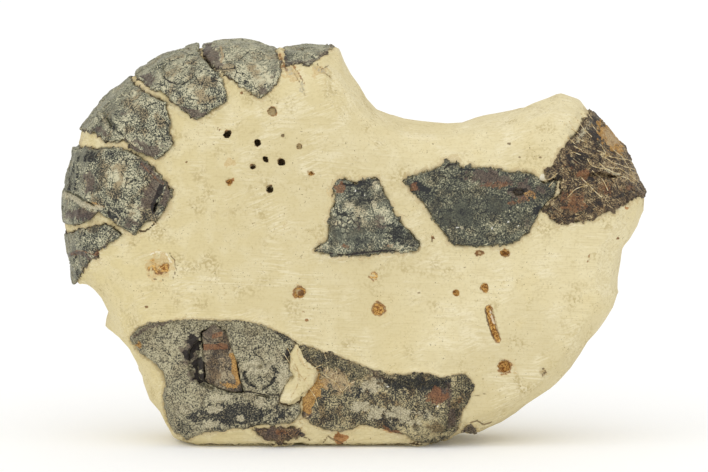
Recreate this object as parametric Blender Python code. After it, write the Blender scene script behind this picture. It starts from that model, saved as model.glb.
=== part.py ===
# Fossil mud lobster in a stone nodule, standing on its flat lower edge.
# The prepared front faces -Y, X runs from tail to claw and Z is up.
# Lengths are in millimetres here and become metres when a mesh is written.

import math

import bmesh
import bpy
import numpy as np
from mathutils import Vector, noise
from mathutils.geometry import delaunay_2d_cdt

MM = 0.001
GAP = 0.3
FRONT_DEPTH = 13.0
BACK_DEPTH = 15.0
BACK_ROUNDING = 12.0
BASE_HALF_DEPTH = 10.0
SHELL_THICKNESS = 1.0
SHELL_RISE = 0.7
SHELL_BACK_REACH = 9.5
# Cutters start well in front of the nodule; those of the flat pieces end inside it.
CUTTER_FRONT = -30.0
CUTTER_BACK = -2.5
RIDGE_CUTTER_BACK = -9.0
# Areas flatter than this many degrees are joined, and points closer than this merged.
FLAT_ANGLE = 4.0
MERGE_DISTANCE = 0.02
# A wrapping piece's outline goes this far beyond the nodule's edge.
BEYOND_EDGE = 5.0

# Outlines are as seen from a little above, so what lies deeper stands lower than it looks.
VIEW_SLOPE = 0.105

# Spacing of the points on a surface: along the edge, then over the face.
SKIN_SPACING = (2.6, 4.2)
SHELL_SPACING = (2.2, 2.3)
UNDERSIDE_SPACING = (3.2, 5.5)
# How far each ring of points lies inside the edge, as a share of the edge radius.
RINGS = (0.06, 0.3, 1.0)

# The nodule's outline from the front, clockwise from the base's left end.
# Each stretch has its edge radius, half the width of its rim, the rise of the shell that
# covers it, how deep its visible edge lies as a share of the front's depth, and its
# points (X, Z) as seen from a little above.
NODULE = {
    "left flank": (6.0, 4.0, 0.0, 0.5, [(-29.3, 0.0), (-31.8, 2.3), (-33.0, 4.9), (-35.8, 8.6),
                                   (-38.4, 15.9), (-40.9, 19.1), (-43.1, 20.6)]),
    "left knob": (5.0, 2.0, 0.0, 0.8, [(-43.1, 20.6), (-43.6, 22.0), (-42.8, 23.6)]),
    "left hollow": (6.0, 2.0, 0.0, 0.9, [(-42.8, 23.6), (-44.2, 26.4), (-46.3, 28.3), (-48.9, 28.9)]),
    "first segment": (11.0, 1.0, 0.6, 1.0, [(-48.9, 28.9), (-49.9, 33.1), (-50.8, 37.4)]),
    "second segment": (11.0, 1.0, 0.9, 1.05, [(-50.8, 37.4), (-50.6, 38.6), (-51.0, 41.4),
                                        (-50.4, 46.4), (-48.4, 53.0)]),
    "notch": (9.0, 1.0, 0.2, 1.1, [(-48.4, 53.0), (-47.1, 54.0), (-47.7, 56.0)]),
    "third segment": (11.0, 1.0, 0.8, 1.15, [(-47.7, 56.0), (-43.7, 60.9), (-38.9, 65.3)]),
    "fourth segment": (11.0, 1.0, 0.8, 1.15, [(-38.9, 65.3), (-34.0, 68.5), (-26.7, 71.0)]),
    "fifth segment": (11.0, 1.0, 0.7, 1.15, [(-26.7, 71.0), (-19.9, 71.4), (-15.0, 70.7)]),
    "sixth segment": (10.0, 1.0, 0.5, 1.15, [(-15.0, 70.3), (-12.0, 70.6), (-6.7, 70.8), (-2.4, 70.3)]),
    "neck edge": (5.0, 1.5, 0.0, 1.2, [(-2.4, 70.3), (-2.0, 67.4), (0.6, 63.8), (3.9, 59.6),
                                  (8.7, 57.4)]),
    "top bay": (5.0, 2.0, 0.0, 1.25, [(8.7, 57.4), (16.0, 56.9), (23.9, 58.1), (31.8, 60.5),
                                (36.5, 62.1)]),
    "upper right": (5.0, 1.5, 0.0, 1.2, [(36.5, 62.1), (39.5, 60.9), (41.4, 58.6)]),
    "claw rim": (7.0, 1.0, 0.6, 1.1, [(41.4, 58.6), (44.5, 55.6), (48.0, 51.6), (50.7, 44.6)]),
    "right": (4.5, 1.5, 0.0, 0.9, [(50.7, 44.6), (50.8, 42.3), (49.1, 37.8), (46.8, 34.1), (45.8, 29.2)]),
    "right knob": (3.5, 1.5, 0.0, 0.6, [(45.8, 29.2), (46.3, 26.8), (43.8, 22.6)]),
    "lower right": (3.2, 2.0, 0.0, 0.5, [(43.8, 22.6), (38.9, 14.9), (33.9, 10.3), (25.6, 5.1),
                                    (21.4, 2.4)]),
    "lower right lip": (3.5, 5.0, 0.0, 0.0, [(21.4, 2.4), (18.8, 1.8), (17.2, 1.0), (14.0, 0.6),
                                        (11.8, 0.0)]),
    "base": (3.0, BASE_HALF_DEPTH, 0.0, 0.0, [(11.8, 0.0), (-29.3, 0.0)]),
}

# Broad swells and hollows of the front: X, Z, reach and height.
SWELLS = [
    (-20.0, 43.0, 12.0, -1.6),
    (-16.0, 12.0, 13.0, 1.3),
    (10.0, 9.0, 9.0, 0.7),
    (22.0, 43.0, 10.0, 0.8),
    (38.0, 24.0, 9.0, -0.6),
    (-41.0, 45.0, 7.0, 0.8),
    (-30.0, 61.0, 7.0, 0.6),
]

# Shell pieces: material, rise over the stone, and the stretches of the outline.
# An open outline runs off the edge of the nodule, and the piece wraps over the rim.
WRAPPING = {
    "abdomen_segment_1": ("slate_shell", 0.6, [
        [(-50.8, 37.2), (-48.4, 37.9), (-45.8, 38.5), (-42.8, 39.3)],
        [(-42.8, 39.3), (-40.3, 37.3)],
        [(-40.3, 37.3), (-42.6, 35.9), (-44.5, 34.6)],
        [(-44.5, 34.6), (-44.2, 33.8)],
        [(-44.2, 33.8), (-46.6, 31.8), (-48.9, 28.7)]]),
    "abdomen_segment_2": ("slate_shell", 0.9, [
        [(-48.6, 52.7), (-44.7, 52.3), (-40.2, 52.1), (-36.1, 50.2), (-32.5, 46.2)],
        [(-32.5, 46.2), (-32.3, 45.0)],
        [(-32.3, 45.0), (-31.4, 45.3)],
        [(-31.4, 45.3), (-33.0, 41.6), (-34.2, 40.1)],
        [(-34.2, 40.1), (-35.9, 39.9), (-37.9, 37.9)],
        [(-37.9, 37.9), (-40.2, 38.7), (-42.6, 40.5)],
        [(-42.6, 40.5), (-42.6, 41.6), (-44.2, 41.8)],
        [(-44.2, 41.8), (-45.0, 40.7), (-47.2, 39.6), (-50.2, 39.8)]]),
    "abdomen_segment_3": ("slate_shell", 0.8, [
        [(-39.1, 65.0), (-38.6, 63.5), (-36.7, 62.3), (-32.6, 60.4)],
        [(-32.6, 60.4), (-32.6, 58.8), (-31.7, 57.7), (-32.1, 54.8)],
        [(-32.1, 54.8), (-31.2, 53.5)],
        [(-31.2, 53.5), (-32.3, 52.0), (-34.0, 50.8)],
        [(-34.0, 50.8), (-36.8, 51.8), (-39.1, 52.8), (-39.6, 54.1)],
        [(-39.6, 54.1), (-43.0, 53.7)],
        [(-43.0, 53.7), (-45.2, 55.6), (-47.6, 56.0)]]),
    "abdomen_segment_4": ("slate_shell", 0.8, [
        [(-27.0, 70.9), (-27.5, 69.3), (-26.3, 67.8)],
        [(-26.3, 67.8), (-24.9, 66.6), (-23.4, 65.1)],
        [(-23.4, 65.1), (-22.2, 62.5), (-22.0, 60.9)],
        [(-22.0, 60.9), (-24.9, 59.0)],
        [(-24.9, 59.0), (-25.8, 57.7), (-27.2, 57.4)],
        [(-27.2, 57.4), (-29.7, 59.5), (-31.7, 61.1)],
        [(-31.7, 61.1), (-32.8, 62.2), (-35.3, 63.1), (-37.2, 64.4), (-38.2, 65.9)]]),
    "abdomen_segment_5": ("brown_shell", 0.7, [
        [(-14.9, 70.7), (-12.9, 67.6), (-13.0, 64.9)],
        [(-13.0, 64.9), (-14.6, 62.3), (-16.0, 61.4)],
        [(-16.0, 61.4), (-19.9, 63.6), (-22.7, 66.0)],
        [(-22.7, 66.0), (-24.1, 66.7), (-25.9, 68.9), (-26.2, 70.9)]]),
    "abdomen_segment_6": ("slate_shell", 0.5, [
        [(-2.4, 70.3), (-4.6, 69.2), (-6.2, 67.9)],
        [(-6.2, 67.9), (-8.0, 67.0), (-9.7, 67.4), (-11.5, 66.8)],
        [(-11.5, 66.8), (-12.0, 68.4), (-11.9, 70.6)]]),
    "claw_tip": ("rust_shell", 0.6, [
        [(50.7, 44.8), (47.3, 42.9), (41.0, 40.2), (36.8, 39.2)],
        [(36.8, 39.2), (33.5, 40.4), (33.4, 41.8)],
        [(33.4, 41.8), (35.8, 44.4), (36.3, 45.2), (36.0, 47.2)],
        [(36.0, 47.2), (33.9, 47.4), (32.8, 48.0)],
        [(32.8, 48.0), (34.6, 48.9), (36.1, 51.4), (37.2, 53.4)],
        [(37.2, 53.4), (40.3, 56.5), (41.5, 58.5)]]),
}
# A wrapping piece's size at shares of its reach over the back.
RIM_TAPER = ((0.0, 1.0), (0.42, 0.95), (0.74, 0.82), (1.0, 0.62))

FLAT = {
    "carapace_rear": ("granular_shell", 0.8, [
        [(-38.6, 19.2), (-37.0, 21.0), (-31.8, 21.9), (-28.6, 22.2)],
        [(-28.6, 22.2), (-24.2, 22.2), (-17.8, 21.7), (-12.7, 19.9), (-10.3, 18.5)],
        [(-10.3, 18.5), (-11.5, 15.9), (-10.7, 13.1)],
        [(-10.7, 13.1), (-12.4, 10.7), (-13.3, 7.7)],
        [(-13.3, 7.7), (-11.1, 7.1), (-9.5, 7.8)],
        [(-9.5, 7.8), (-9.4, 6.3), (-10.8, 4.7)],
        [(-10.8, 4.7), (-16.0, 4.4), (-22.0, 3.5), (-26.0, 3.0), (-29.0, 1.8)],
        [(-29.0, 1.8), (-31.8, 4.0), (-32.8, 8.6)],
        [(-32.8, 8.6), (-32.3, 12.4), (-34.6, 15.2)],
        [(-34.6, 15.2), (-37.2, 17.1), (-38.6, 19.2)]]),
    "carapace_fragment": ("brown_shell", 1.0, [
        [(-26.3, 20.3), (-24.2, 21.7), (-22.3, 20.3)],
        [(-22.3, 20.3), (-21.1, 17.0), (-19.2, 10.1)],
        [(-19.2, 10.1), (-22.5, 10.3), (-25.6, 12.1)],
        [(-25.6, 12.1), (-25.9, 15.9), (-26.3, 20.3)]]),
    "carapace_front": ("granular_shell", 0.8, [
        [(-9.0, 17.8), (-5.9, 16.8), (-1.7, 15.4), (2.9, 13.5)],
        [(2.9, 13.5), (7.4, 12.4), (11.8, 12.9), (15.1, 11.9)],
        [(15.1, 11.9), (19.0, 12.6), (20.6, 10.3), (18.6, 6.8)],
        [(18.6, 6.8), (17.6, 2.8), (14.4, 1.2)],
        [(14.4, 1.2), (10.8, 1.3)],
        [(10.8, 1.3), (9.4, 2.4), (5.3, 3.8), (1.5, 4.5)],
        [(1.5, 4.5), (-1.5, 3.3), (-5.5, 3.8), (-8.7, 5.8)],
        [(-8.7, 5.8), (-8.5, 8.8)],
        [(-8.5, 8.8), (-6.3, 11.4), (-5.7, 13.6)],
        [(-5.7, 13.6), (-8.1, 15.6), (-9.0, 17.8)]]),
    "carapace_lower_edge": ("rust_shell", 0.5, [
        [(-17.6, 3.4), (-15.0, 1.5), (-12.9, 1.0)],
        [(-12.9, 1.0), (-10.8, 2.0), (-8.7, 2.6)],
        [(-8.7, 2.6), (-9.8, 3.6), (-17.6, 3.4)]]),
    "claw_arm": ("slate_shell", 0.7, [
        [(-3.4, 45.8), (-1.5, 47.1)],
        [(-1.5, 47.1), (0.4, 46.4), (3.9, 47.4)],
        [(3.9, 47.4), (5.3, 44.6), (7.8, 39.9), (11.5, 35.7)],
        [(11.5, 35.7), (10.9, 34.6)],
        [(10.9, 34.6), (5.3, 34.3), (-0.6, 33.6), (-7.1, 34.5)],
        [(-7.1, 34.5), (-4.5, 36.2)],
        [(-4.5, 36.2), (-3.9, 41.1)],
        [(-3.9, 41.1), (-2.9, 42.5), (-3.4, 45.8)]]),
    "claw_palm": ("slate_shell", 0.9, [
        [(8.7, 46.9), (12.3, 48.1), (15.3, 49.3)],
        [(15.3, 49.3), (15.7, 49.9)],
        [(15.7, 49.9), (17.9, 50.0)],
        [(17.9, 50.0), (18.5, 49.2)],
        [(18.5, 49.2), (23.2, 48.8), (28.3, 48.1), (30.9, 48.1)],
        [(30.9, 48.1), (33.0, 46.4)],
        [(33.0, 46.4), (35.1, 46.7)],
        [(35.1, 46.7), (35.0, 44.9), (32.3, 41.6), (30.4, 38.0)],
        [(30.4, 38.0), (27.2, 35.9)],
        [(27.2, 35.9), (22.1, 35.5), (17.4, 35.7)],
        [(17.4, 35.7), (14.3, 39.7), (11.8, 43.6), (8.7, 46.9)]]),
    "small_shell_fragment": ("slate_shell", 0.6, [
        [(19.0, 3.0), (20.4, 4.3)],
        [(20.4, 4.3), (21.4, 3.0)],
        [(21.4, 3.0), (19.0, 3.0)]]),
}

# A sliver of stone stands up between the two large pieces of carapace.
STONE_RIDGE = [
    [(-9.9, 18.3), (-8.7, 15.6), (-6.6, 13.6)],
    [(-6.6, 13.6), (-7.3, 11.4), (-9.5, 9.1)],
    [(-9.5, 9.1), (-11.5, 7.9), (-12.7, 8.2)],
    [(-12.7, 8.2), (-11.6, 10.7), (-9.9, 12.6)],
    [(-9.9, 12.6), (-10.9, 15.2), (-9.9, 18.3)],
]
STONE_RIDGE_RISE = 1.1

HOLLOW_STEP = 1.2
# Hollows in the shell pieces: piece, depth, and the outline's stretches.
HOLLOWS = [
    ("carapace_rear", 1.2, [[(-28.7, 17.0), (-26.6, 19.4), (-26.8, 12.6), (-22.6, 10.0),
                             (-26.9, 11.2), (-28.8, 14.0), (-28.7, 17.0)]]),
    ("carapace_rear", 0.7, [[(-18.9, 9.5), (-15.4, 9.6), (-13.2, 8.5), (-15.5, 9.0),
                             (-18.9, 9.5)]]),
    ("abdomen_segment_2", 1.0, [[(-33.3, 44.7), (-34.6, 42.4), (-34.9, 40.4), (-34.0, 42.2),
                                 (-33.3, 44.7)]]),
    ("abdomen_segment_2", 0.6, [[(-50.9, 43.8), (-48.6, 43.4), (-45.0, 42.0), (-44.6, 42.4),
                                 (-48.2, 44.1), (-50.9, 44.5), (-50.9, 43.8)]]),
    ("abdomen_segment_3", 0.5, [[(-44.9, 59.3), (-42.7, 56.4), (-41.5, 54.8), (-42.3, 57.0),
                                 (-44.9, 59.3)]]),
    ("abdomen_segment_4", 0.5, [[(-30.3, 63.5), (-32.2, 64.0), (-33.3, 65.5), (-32.4, 67.2),
                                 (-32.8, 65.5), (-31.9, 64.4), (-30.3, 63.5)]]),
    ("claw_palm", 0.8, [[(27.3, 45.0), (28.9, 45.6), (29.9, 44.6), (28.5, 44.1), (27.3, 45.0)]]),
    ("claw_tip", 0.6, [[(38.5, 47.2), (42.0, 48.3), (46.0, 47.3), (45.6, 46.7), (42.0, 47.5),
                        (38.9, 46.8), (38.5, 47.2)]]),
]

# Borings in the front of the stone: X, Z, radius and depth.
BORINGS = [
    (-21.8, 54.9, 0.55, 1.6), (-16.7, 53.5, 0.5, 1.5), (-17.5, 49.1, 0.45, 1.4),
    (-12.5, 50.1, 0.5, 1.5), (-14.6, 45.3, 0.5, 1.5), (-14.1, 58.8, 0.7, 0.8),
    (-9.4, 52.6, 0.45, 0.8), (-15.3, 50.5, 0.4, 1.0), (-21.6, 46.5, 0.6, 0.6),
    (-7.3, 48.1, 0.5, 0.7), (-9.4, 27.3, 1.1, 0.7), (4.3, 24.3, 1.2, 0.5),
    (17.8, 27.1, 0.5, 0.8), (22.8, 28.0, 0.7, 0.6), (26.3, 34.1, 0.7, 0.7),
    (21.8, 34.1, 0.8, 0.4), (26.3, 14.2, 1.4, 1.0), (33.0, 13.2, 0.7, 0.5),
    (-33.9, 31.7, 1.9, 0.6),
]
# A long burrow, given by its two ends, its radius and its depth.
BURROW = ((23.6, 24.2), (25.0, 19.2), 0.5, 0.9)

# Chips broken off the front edge of the foot: X, Z of the centre, and radius.
FOOT_CHIPS = [(-9.7, -1.4, 3.1), (3.5, -2.3, 2.8), (-22.5, -2.4, 2.9)]

# Colour, roughness and metallic value of each material.
MATERIALS = {
    "mudstone": ((0.78, 0.68, 0.46), 0.9, 0.0),
    "slate_shell": ((0.09, 0.095, 0.085), 0.6, 0.0),
    "brown_shell": ((0.13, 0.07, 0.035), 0.6, 0.0),
    "granular_shell": ((0.16, 0.15, 0.11), 0.7, 0.0),
    "rust_shell": ((0.22, 0.11, 0.045), 0.75, 0.0),
}


def lump(x, y, z, size):
    # Smooth noise between about -1 and 1 whose lumps are of the given size.
    return noise.noise(Vector((x, y, z)) / size + Vector((3.7, 8.1, 5.3)))


def curve(points, step):
    # Even steps along a smooth curve through the points, without the last point.
    knots = [np.array(p, dtype=float) for p in points]
    knots = [2 * knots[0] - knots[1]] + knots + [2 * knots[-1] - knots[-2]]
    samples = []
    for a, b, c, d in zip(knots, knots[1:], knots[2:], knots[3:]):
        for t in np.linspace(0, 1, 12, endpoint=False):
            samples.append(0.5 * (2 * b + (c - a) * t + (2 * a - 5 * b + 4 * c - d) * t ** 2
                                  + (3 * b - a - 3 * c + d) * t ** 3))
    samples.append(knots[-2])
    samples = np.array(samples)
    lengths = np.concatenate([[0], np.cumsum(np.linalg.norm(np.diff(samples, axis=0), axis=1))])
    count = max(1, round(lengths[-1] / step))
    places = np.linspace(0, lengths[-1], count, endpoint=False)
    return np.stack([np.interp(places, lengths, samples[:, i]) for i in (0, 1)], axis=1)


def outline(stretches, step):
    # Stretches of two points are straight and need no points between.
    return np.concatenate([curve(points, step) if len(points) > 2 else np.array(points[:1])
                           for points in stretches])


def outward_normals(loop):
    # The loop runs clockwise, so the outside is to the left of its direction.
    along = np.roll(loop, -1, axis=0) - np.roll(loop, 1, axis=0)
    along /= np.linalg.norm(along, axis=1)[:, None]
    return np.stack([-along[:, 1], along[:, 0]], axis=1)


def clockwise(loop):
    x, z = loop[:, 0], loop[:, 1]
    area = np.sum(x * np.roll(z, -1) - np.roll(x, -1) * z)
    return loop if area < 0 else loop[::-1]


def distance_to(loop, points):
    # Distance from each point to the nearest side of the closed loop.
    start, side = loop[None], (np.roll(loop, -1, axis=0) - loop)[None]
    offset = points[:, None] - start
    t = np.clip((offset * side).sum(2) / (side ** 2).sum(2), 0, 1)
    return np.linalg.norm(offset - t[..., None] * side, axis=2).min(axis=1)


def inside(loop, points):
    # Even-odd test of each point against the closed loop.
    x, z = points[:, 0][:, None], points[:, 1][:, None]
    x0, z0 = loop[:, 0][None], loop[:, 1][None]
    x1, z1 = np.roll(loop[:, 0], -1)[None], np.roll(loop[:, 1], -1)[None]
    crosses = (z0 > z) != (z1 > z)
    rise = np.where(z1 == z0, 1e-9, z1 - z0)
    return (crosses & (x < x0 + (z - z0) * (x1 - x0) / rise)).sum(axis=1) % 2 == 1


def widened(loop, amount):
    # Each side moves outward by the amount; the sharpest corners are cut short.
    normals = outward_normals(loop)
    side = np.roll(loop, -1, axis=0) - loop
    side /= np.linalg.norm(side, axis=1)[:, None]
    square = np.abs(normals[:, 0] * -side[:, 1] + normals[:, 1] * side[:, 0])
    return loop + normals * (amount / np.clip(square, 0.4, 1.0))[:, None]


def smoothed(values, rounds):
    # Each value of a closed loop is averaged with its neighbours.
    for _ in range(rounds):
        values = 0.25 * np.roll(values, 1) + 0.5 * values + 0.25 * np.roll(values, -1)
    return values


def far_enough(points, others, spacing):
    if len(others) == 0:
        return points
    gaps = np.linalg.norm(points[:, None] - np.asarray(others)[None], axis=2).min(axis=1)
    return points[gaps > spacing]


def hexagonal_grid(spacing):
    rows = []
    for j, z in enumerate(np.arange(0.0, 74.0, spacing * 0.87)):
        for x in np.arange(-53.0, 53.0, spacing):
            shift = 0.5 * spacing * (j % 2)
            rows.append((x + shift + 0.25 * spacing * lump(x, 1.0, z, 2.9),
                         z + 0.25 * spacing * lump(x, 9.0, z, 2.9)))
    return np.array(rows)


class Nodule:
    # The nodule's smooth form, as a closed mesh that can be grown or shrunk.

    def __init__(self, spacing, fine_areas=(), fine_spacing=None):
        edge_step, face_step = spacing
        runs = [curve(stretch[-1], edge_step) for stretch in NODULE.values()]
        radius, width, cover, depth = (
            np.concatenate([np.full(len(run), stretch[k])
                            for run, stretch in zip(runs, NODULE.values())])
            for k in range(4))
        loop = np.concatenate(runs)
        on_base = loop[:, 1] < 0.05
        depth = np.where(on_base, 0.0, smoothed(depth, 2))
        loop[:, 1] -= depth * FRONT_DEPTH * VIEW_SLOPE
        self.radius = smoothed(radius, 3)
        self.width = np.where(on_base, width, smoothed(width, 3))
        cover = np.where(on_base, 0.0, smoothed(cover, 1))
        self.loop = loop - outward_normals(loop) * cover[:, None]
        self.face = self.face_points(face_step, fine_areas, fine_spacing)
        self.build()

    def face_points(self, face_step, fine_areas, fine_spacing):
        rings = []
        for share in RINGS:
            ring = self.loop - outward_normals(self.loop) * (share * self.radius)[:, None]
            keep = inside(self.loop, ring)
            keep &= distance_to(self.loop, ring) > 0.93 * share * self.radius
            rings.extend(ring[keep])
        kept = list(rings)
        grid = hexagonal_grid(face_step)
        if fine_spacing:
            fine = hexagonal_grid(fine_spacing)
            for area in fine_areas:
                near = inside(area, fine) | (distance_to(area, fine) < 0.6 * fine_spacing)
                here = fine[near & inside(self.loop, fine)]
                here = here[distance_to(self.loop, here) > 0.5 * fine_spacing]
                kept.extend(far_enough(here, kept, 0.6 * fine_spacing))
        grid = grid[inside(self.loop, grid)]
        grid = grid[distance_to(self.loop, grid) > 0.5 * face_step]
        kept.extend(far_enough(grid, kept, 0.62 * face_step))
        return np.array(kept)

    def half_depths(self, points):
        # Front and back half depths: an elliptic edge that levels out inside its radius.
        gaps = np.linalg.norm(points[:, None] - self.loop[None], axis=2)
        weight = 1 / (gaps ** 3 + 0.05)
        radius = (weight * self.radius).sum(1) / weight.sum(1)
        width = (weight * self.width).sum(1) / weight.sum(1)
        inset = distance_to(self.loop, points)
        front_rise, back_rise = (np.sqrt(1 - (1 - np.clip(inset / reach, 0, 1)) ** 2)
                                 for reach in (radius, radius + BACK_ROUNDING))
        swell = np.zeros(len(points))
        for x, z, reach, height in SWELLS:
            away = np.linalg.norm(points - np.array([x, z]), axis=1)
            swell += height * np.exp(-(away / reach) ** 2)
        front = width + (FRONT_DEPTH + swell - width) * front_rise
        back = width + (BACK_DEPTH - width) * back_rise
        return front, back

    def settled(self, points):
        # Seen points moved down to where they lie on the front or beyond the edge.
        lower = points.copy()
        for _ in range(2):
            front = np.where(inside(self.loop, lower), self.half_depths(lower)[0], 0.0)
            lower[:, 1] = points[:, 1] - np.maximum(0.0, FRONT_DEPTH - front) * VIEW_SLOPE
        return lower

    def build(self):
        front_face, back_face = self.half_depths(self.face)
        edge_count = len(self.loop)
        flat = np.concatenate([self.loop, self.face])
        order = list(range(edge_count))
        points = [Vector(p) for p in flat]
        result = delaunay_2d_cdt(points, [], [order], 1, 1e-5)
        faces = [tuple(result[3][v][0] for v in face) for face in result[2]]
        front = np.column_stack([flat[:, 0], -np.r_[self.width, front_face], flat[:, 1]])
        back = np.column_stack([flat[:, 0], np.r_[self.width, back_face], flat[:, 1]])
        count = len(flat)
        self.vertices = np.concatenate([front, back])
        self.faces = []
        for face in faces:
            a, b, c = (self.vertices[i] for i in face)
            faces_front = np.cross(b - a, c - a)[1] < 0
            ordered = face if faces_front else face[::-1]
            self.faces.append(tuple(ordered))
            self.faces.append(tuple(count + i for i in ordered[::-1]))
        for i in range(edge_count):
            j = (i + 1) % edge_count
            self.faces.append((i, j, count + j))
            self.faces.append((i, count + j, count + i))
        self.normals = self.vertex_normals()

    def vertex_normals(self):
        normals = np.zeros_like(self.vertices)
        for face in self.faces:
            a, b, c = (self.vertices[i] for i in face)
            normal = np.cross(b - a, c - a)
            for i in face:
                normals[i] += normal
        return normals / np.linalg.norm(normals, axis=1)[:, None]

    def grown(self, name, lift):
        # The mesh with each point moved along its normal; lift is a number or a function.
        vertices = self.vertices.copy()
        for i, (place, normal) in enumerate(zip(self.vertices, self.normals)):
            amount = lift(*place) if callable(lift) else lift
            vertices[i] += normal * amount
        return new_object(name, vertices, self.faces)


    def set_back(self, name, depth):
        # The mesh moved away from the front by the depth.
        return new_object(name, self.vertices + np.array([0.0, depth, 0.0]), self.faces)


def new_object(name, vertices, faces):
    mesh = bpy.data.meshes.new(name)
    mesh.from_pydata([tuple(v * MM) for v in np.asarray(vertices)], [], [tuple(f) for f in faces])
    mesh.validate()
    form = bmesh.new()
    form.from_mesh(mesh)
    bmesh.ops.recalc_face_normals(form, faces=form.faces)
    form.to_mesh(mesh)
    form.free()
    made = bpy.data.objects.new(name, mesh)
    bpy.context.collection.objects.link(made)
    return made


def loft(name, loops):
    # A closed solid through loops of equally many points (x, y, z).
    count = len(loops[0])
    vertices = np.concatenate(loops)
    faces = [tuple(range(count)), tuple(range(len(vertices) - 1, len(vertices) - 1 - count, -1))]
    for k in range(len(loops) - 1):
        for i in range(count):
            j = (i + 1) % count
            faces.append((k * count + i, k * count + j, (k + 1) * count + j, (k + 1) * count + i))
    return new_object(name, vertices, faces)


def upright(loop, y):
    return np.column_stack([loop[:, 0], np.full(len(loop), float(y)), loop[:, 1]])


def prism(name, loop, y_front, y_back):
    return loft(name, [upright(loop, y_front), upright(loop, y_back)])


def combine(target, tool, operation):
    # Boolean of two closed meshes; the tool is removed afterwards.
    modifier = target.modifiers.new("combine", "BOOLEAN")
    modifier.object = tool
    modifier.operation = operation
    modifier.solver = "EXACT"
    graph = bpy.context.evaluated_depsgraph_get()
    mesh = bpy.data.meshes.new_from_object(target.evaluated_get(graph))
    target.modifiers.remove(modifier)
    old = target.data
    target.data = mesh
    bpy.data.meshes.remove(old)
    bpy.data.objects.remove(tool)
    return target


def keep_largest_body(target):
    # Boolean cuts can leave crumbs beside the piece; only its largest body stays.
    form = bmesh.new()
    form.from_mesh(target.data)
    left = set(form.verts)
    bodies = []
    while left:
        found = {left.pop()}
        queue = list(found)
        while queue:
            for edge in queue.pop().link_edges:
                for vertex in edge.verts:
                    if vertex in left:
                        left.discard(vertex)
                        found.add(vertex)
                        queue.append(vertex)
        bodies.append(found)
    bodies.sort(key=len, reverse=True)
    for body in bodies[1:]:
        bmesh.ops.delete(form, geom=list(body), context="VERTS")
    form.to_mesh(target.data)
    form.free()


def tidy(target, slack, angle):
    # Points closer together than the slack are merged, and nearly flat areas joined.
    form = bmesh.new()
    form.from_mesh(target.data)
    bmesh.ops.dissolve_degenerate(form, dist=slack * MM, edges=form.edges)
    bmesh.ops.dissolve_limit(form, angle_limit=math.radians(angle), verts=form.verts,
                             edges=form.edges)
    bmesh.ops.triangulate(form, faces=form.faces)
    loose = [edge for edge in form.edges if not edge.link_faces]
    bmesh.ops.delete(form, geom=loose, context="EDGES")
    form.to_mesh(target.data)
    form.free()


def off_the_edge(stretches, step, amount):
    # An open outline closed by an arc beyond the nodule's edge, and that arc's middle.
    chain = [*outline(stretches, step), np.array(stretches[-1][-1], dtype=float)]
    first, last = chain[0], chain[-1]
    chord = first - last
    inner = np.mean(chain, axis=0)
    side = np.array([-chord[1], chord[0]]) / np.linalg.norm(chord)
    if np.dot(side, inner - (first + last) / 2) > 0:
        side = -side
    reach = [last + side * amount, (first + last) / 2 + side * 1.5 * amount,
             first + side * amount]
    return np.array(chain + reach), reach[1]


def rim_cutter(name, loop, pivot, grow):
    # It narrows towards a point outside the rim as it reaches the back.
    loops = [upright(loop, CUTTER_FRONT)]
    for share, size in RIM_TAPER:
        y = share * SHELL_BACK_REACH
        loops.append(upright(pivot + (loop - pivot) * size, y + grow))
    return loft(name, loops)


def material(name):
    colour, roughness, metallic = MATERIALS[name]
    made = bpy.data.materials.get(name) or bpy.data.materials.new(name)
    made.use_nodes = True
    surface = made.node_tree.nodes["Principled BSDF"]
    surface.inputs["Base Color"].default_value = (*colour, 1.0)
    surface.inputs["Roughness"].default_value = roughness
    surface.inputs["Metallic"].default_value = metallic
    made.diffuse_color = (*colour, 1.0)
    return made


def skin_lift(x, y, z):
    # The worked front is nearly smooth, the flanks and the back are lumpy.
    if z < 0.05:
        return 0.0
    away_from_front = min(1.0, max(0.0, (y + 12.0) / 8.0))
    rough = 0.12 + 0.55 * away_from_front
    settle = min(1.0, z / 4.0)
    return settle * rough * (lump(x, y, z, 5.5) + 0.5 * lump(x, y, z, 2.6))


def shell_lift(rise):
    def lift(x, y, z):
        return rise + 0.35 * lump(x, y, z, 4.0) + 0.22 * lump(x, y, z, 1.8)
    return lift


def add_shell_piece(name, look, cutter, shell, underside):
    piece = shell
    piece.name = name
    combine(piece, cutter, "INTERSECT")
    combine(piece, underside, "DIFFERENCE")
    keep_largest_body(piece)
    piece.data.materials.clear()
    piece.data.materials.append(material(look))
    return piece


def boring_cutter(x, z, radius, depth, surface_y):
    # A round-bottomed plug pushed into the front.
    sides = 8
    loops = []
    for y, size in ((-2.0, 1.25), (0.0, 1.05), (depth * 0.7, 0.85), (depth, 0.4)):
        angles = [2 * math.pi * k / sides for k in range(sides)]
        ring = np.array([(x + math.cos(a) * radius * size, z + math.sin(a) * radius * size)
                         for a in angles])
        loops.append(upright(ring, surface_y + y))
    return loft("boring", loops)


def burrow_cutter(ends, radius, depth, surface_y):
    (x0, z0), (x1, z1) = ends
    along = math.atan2(z1 - z0, x1 - x0)
    loops = []
    for y, size in ((-2.0, 1.2), (depth * 0.6, 1.0), (depth, 0.5)):
        ring = []
        for (x, z), turn in (((x1, z1), -math.pi / 2), ((x0, z0), math.pi / 2)):
            for k in range(5):
                a = along + turn + math.pi * k / 4
                ring.append((x + math.cos(a) * radius * size, z + math.sin(a) * radius * size))
        loops.append(upright(np.array(ring), surface_y + y))
    return loft("burrow", loops)


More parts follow.
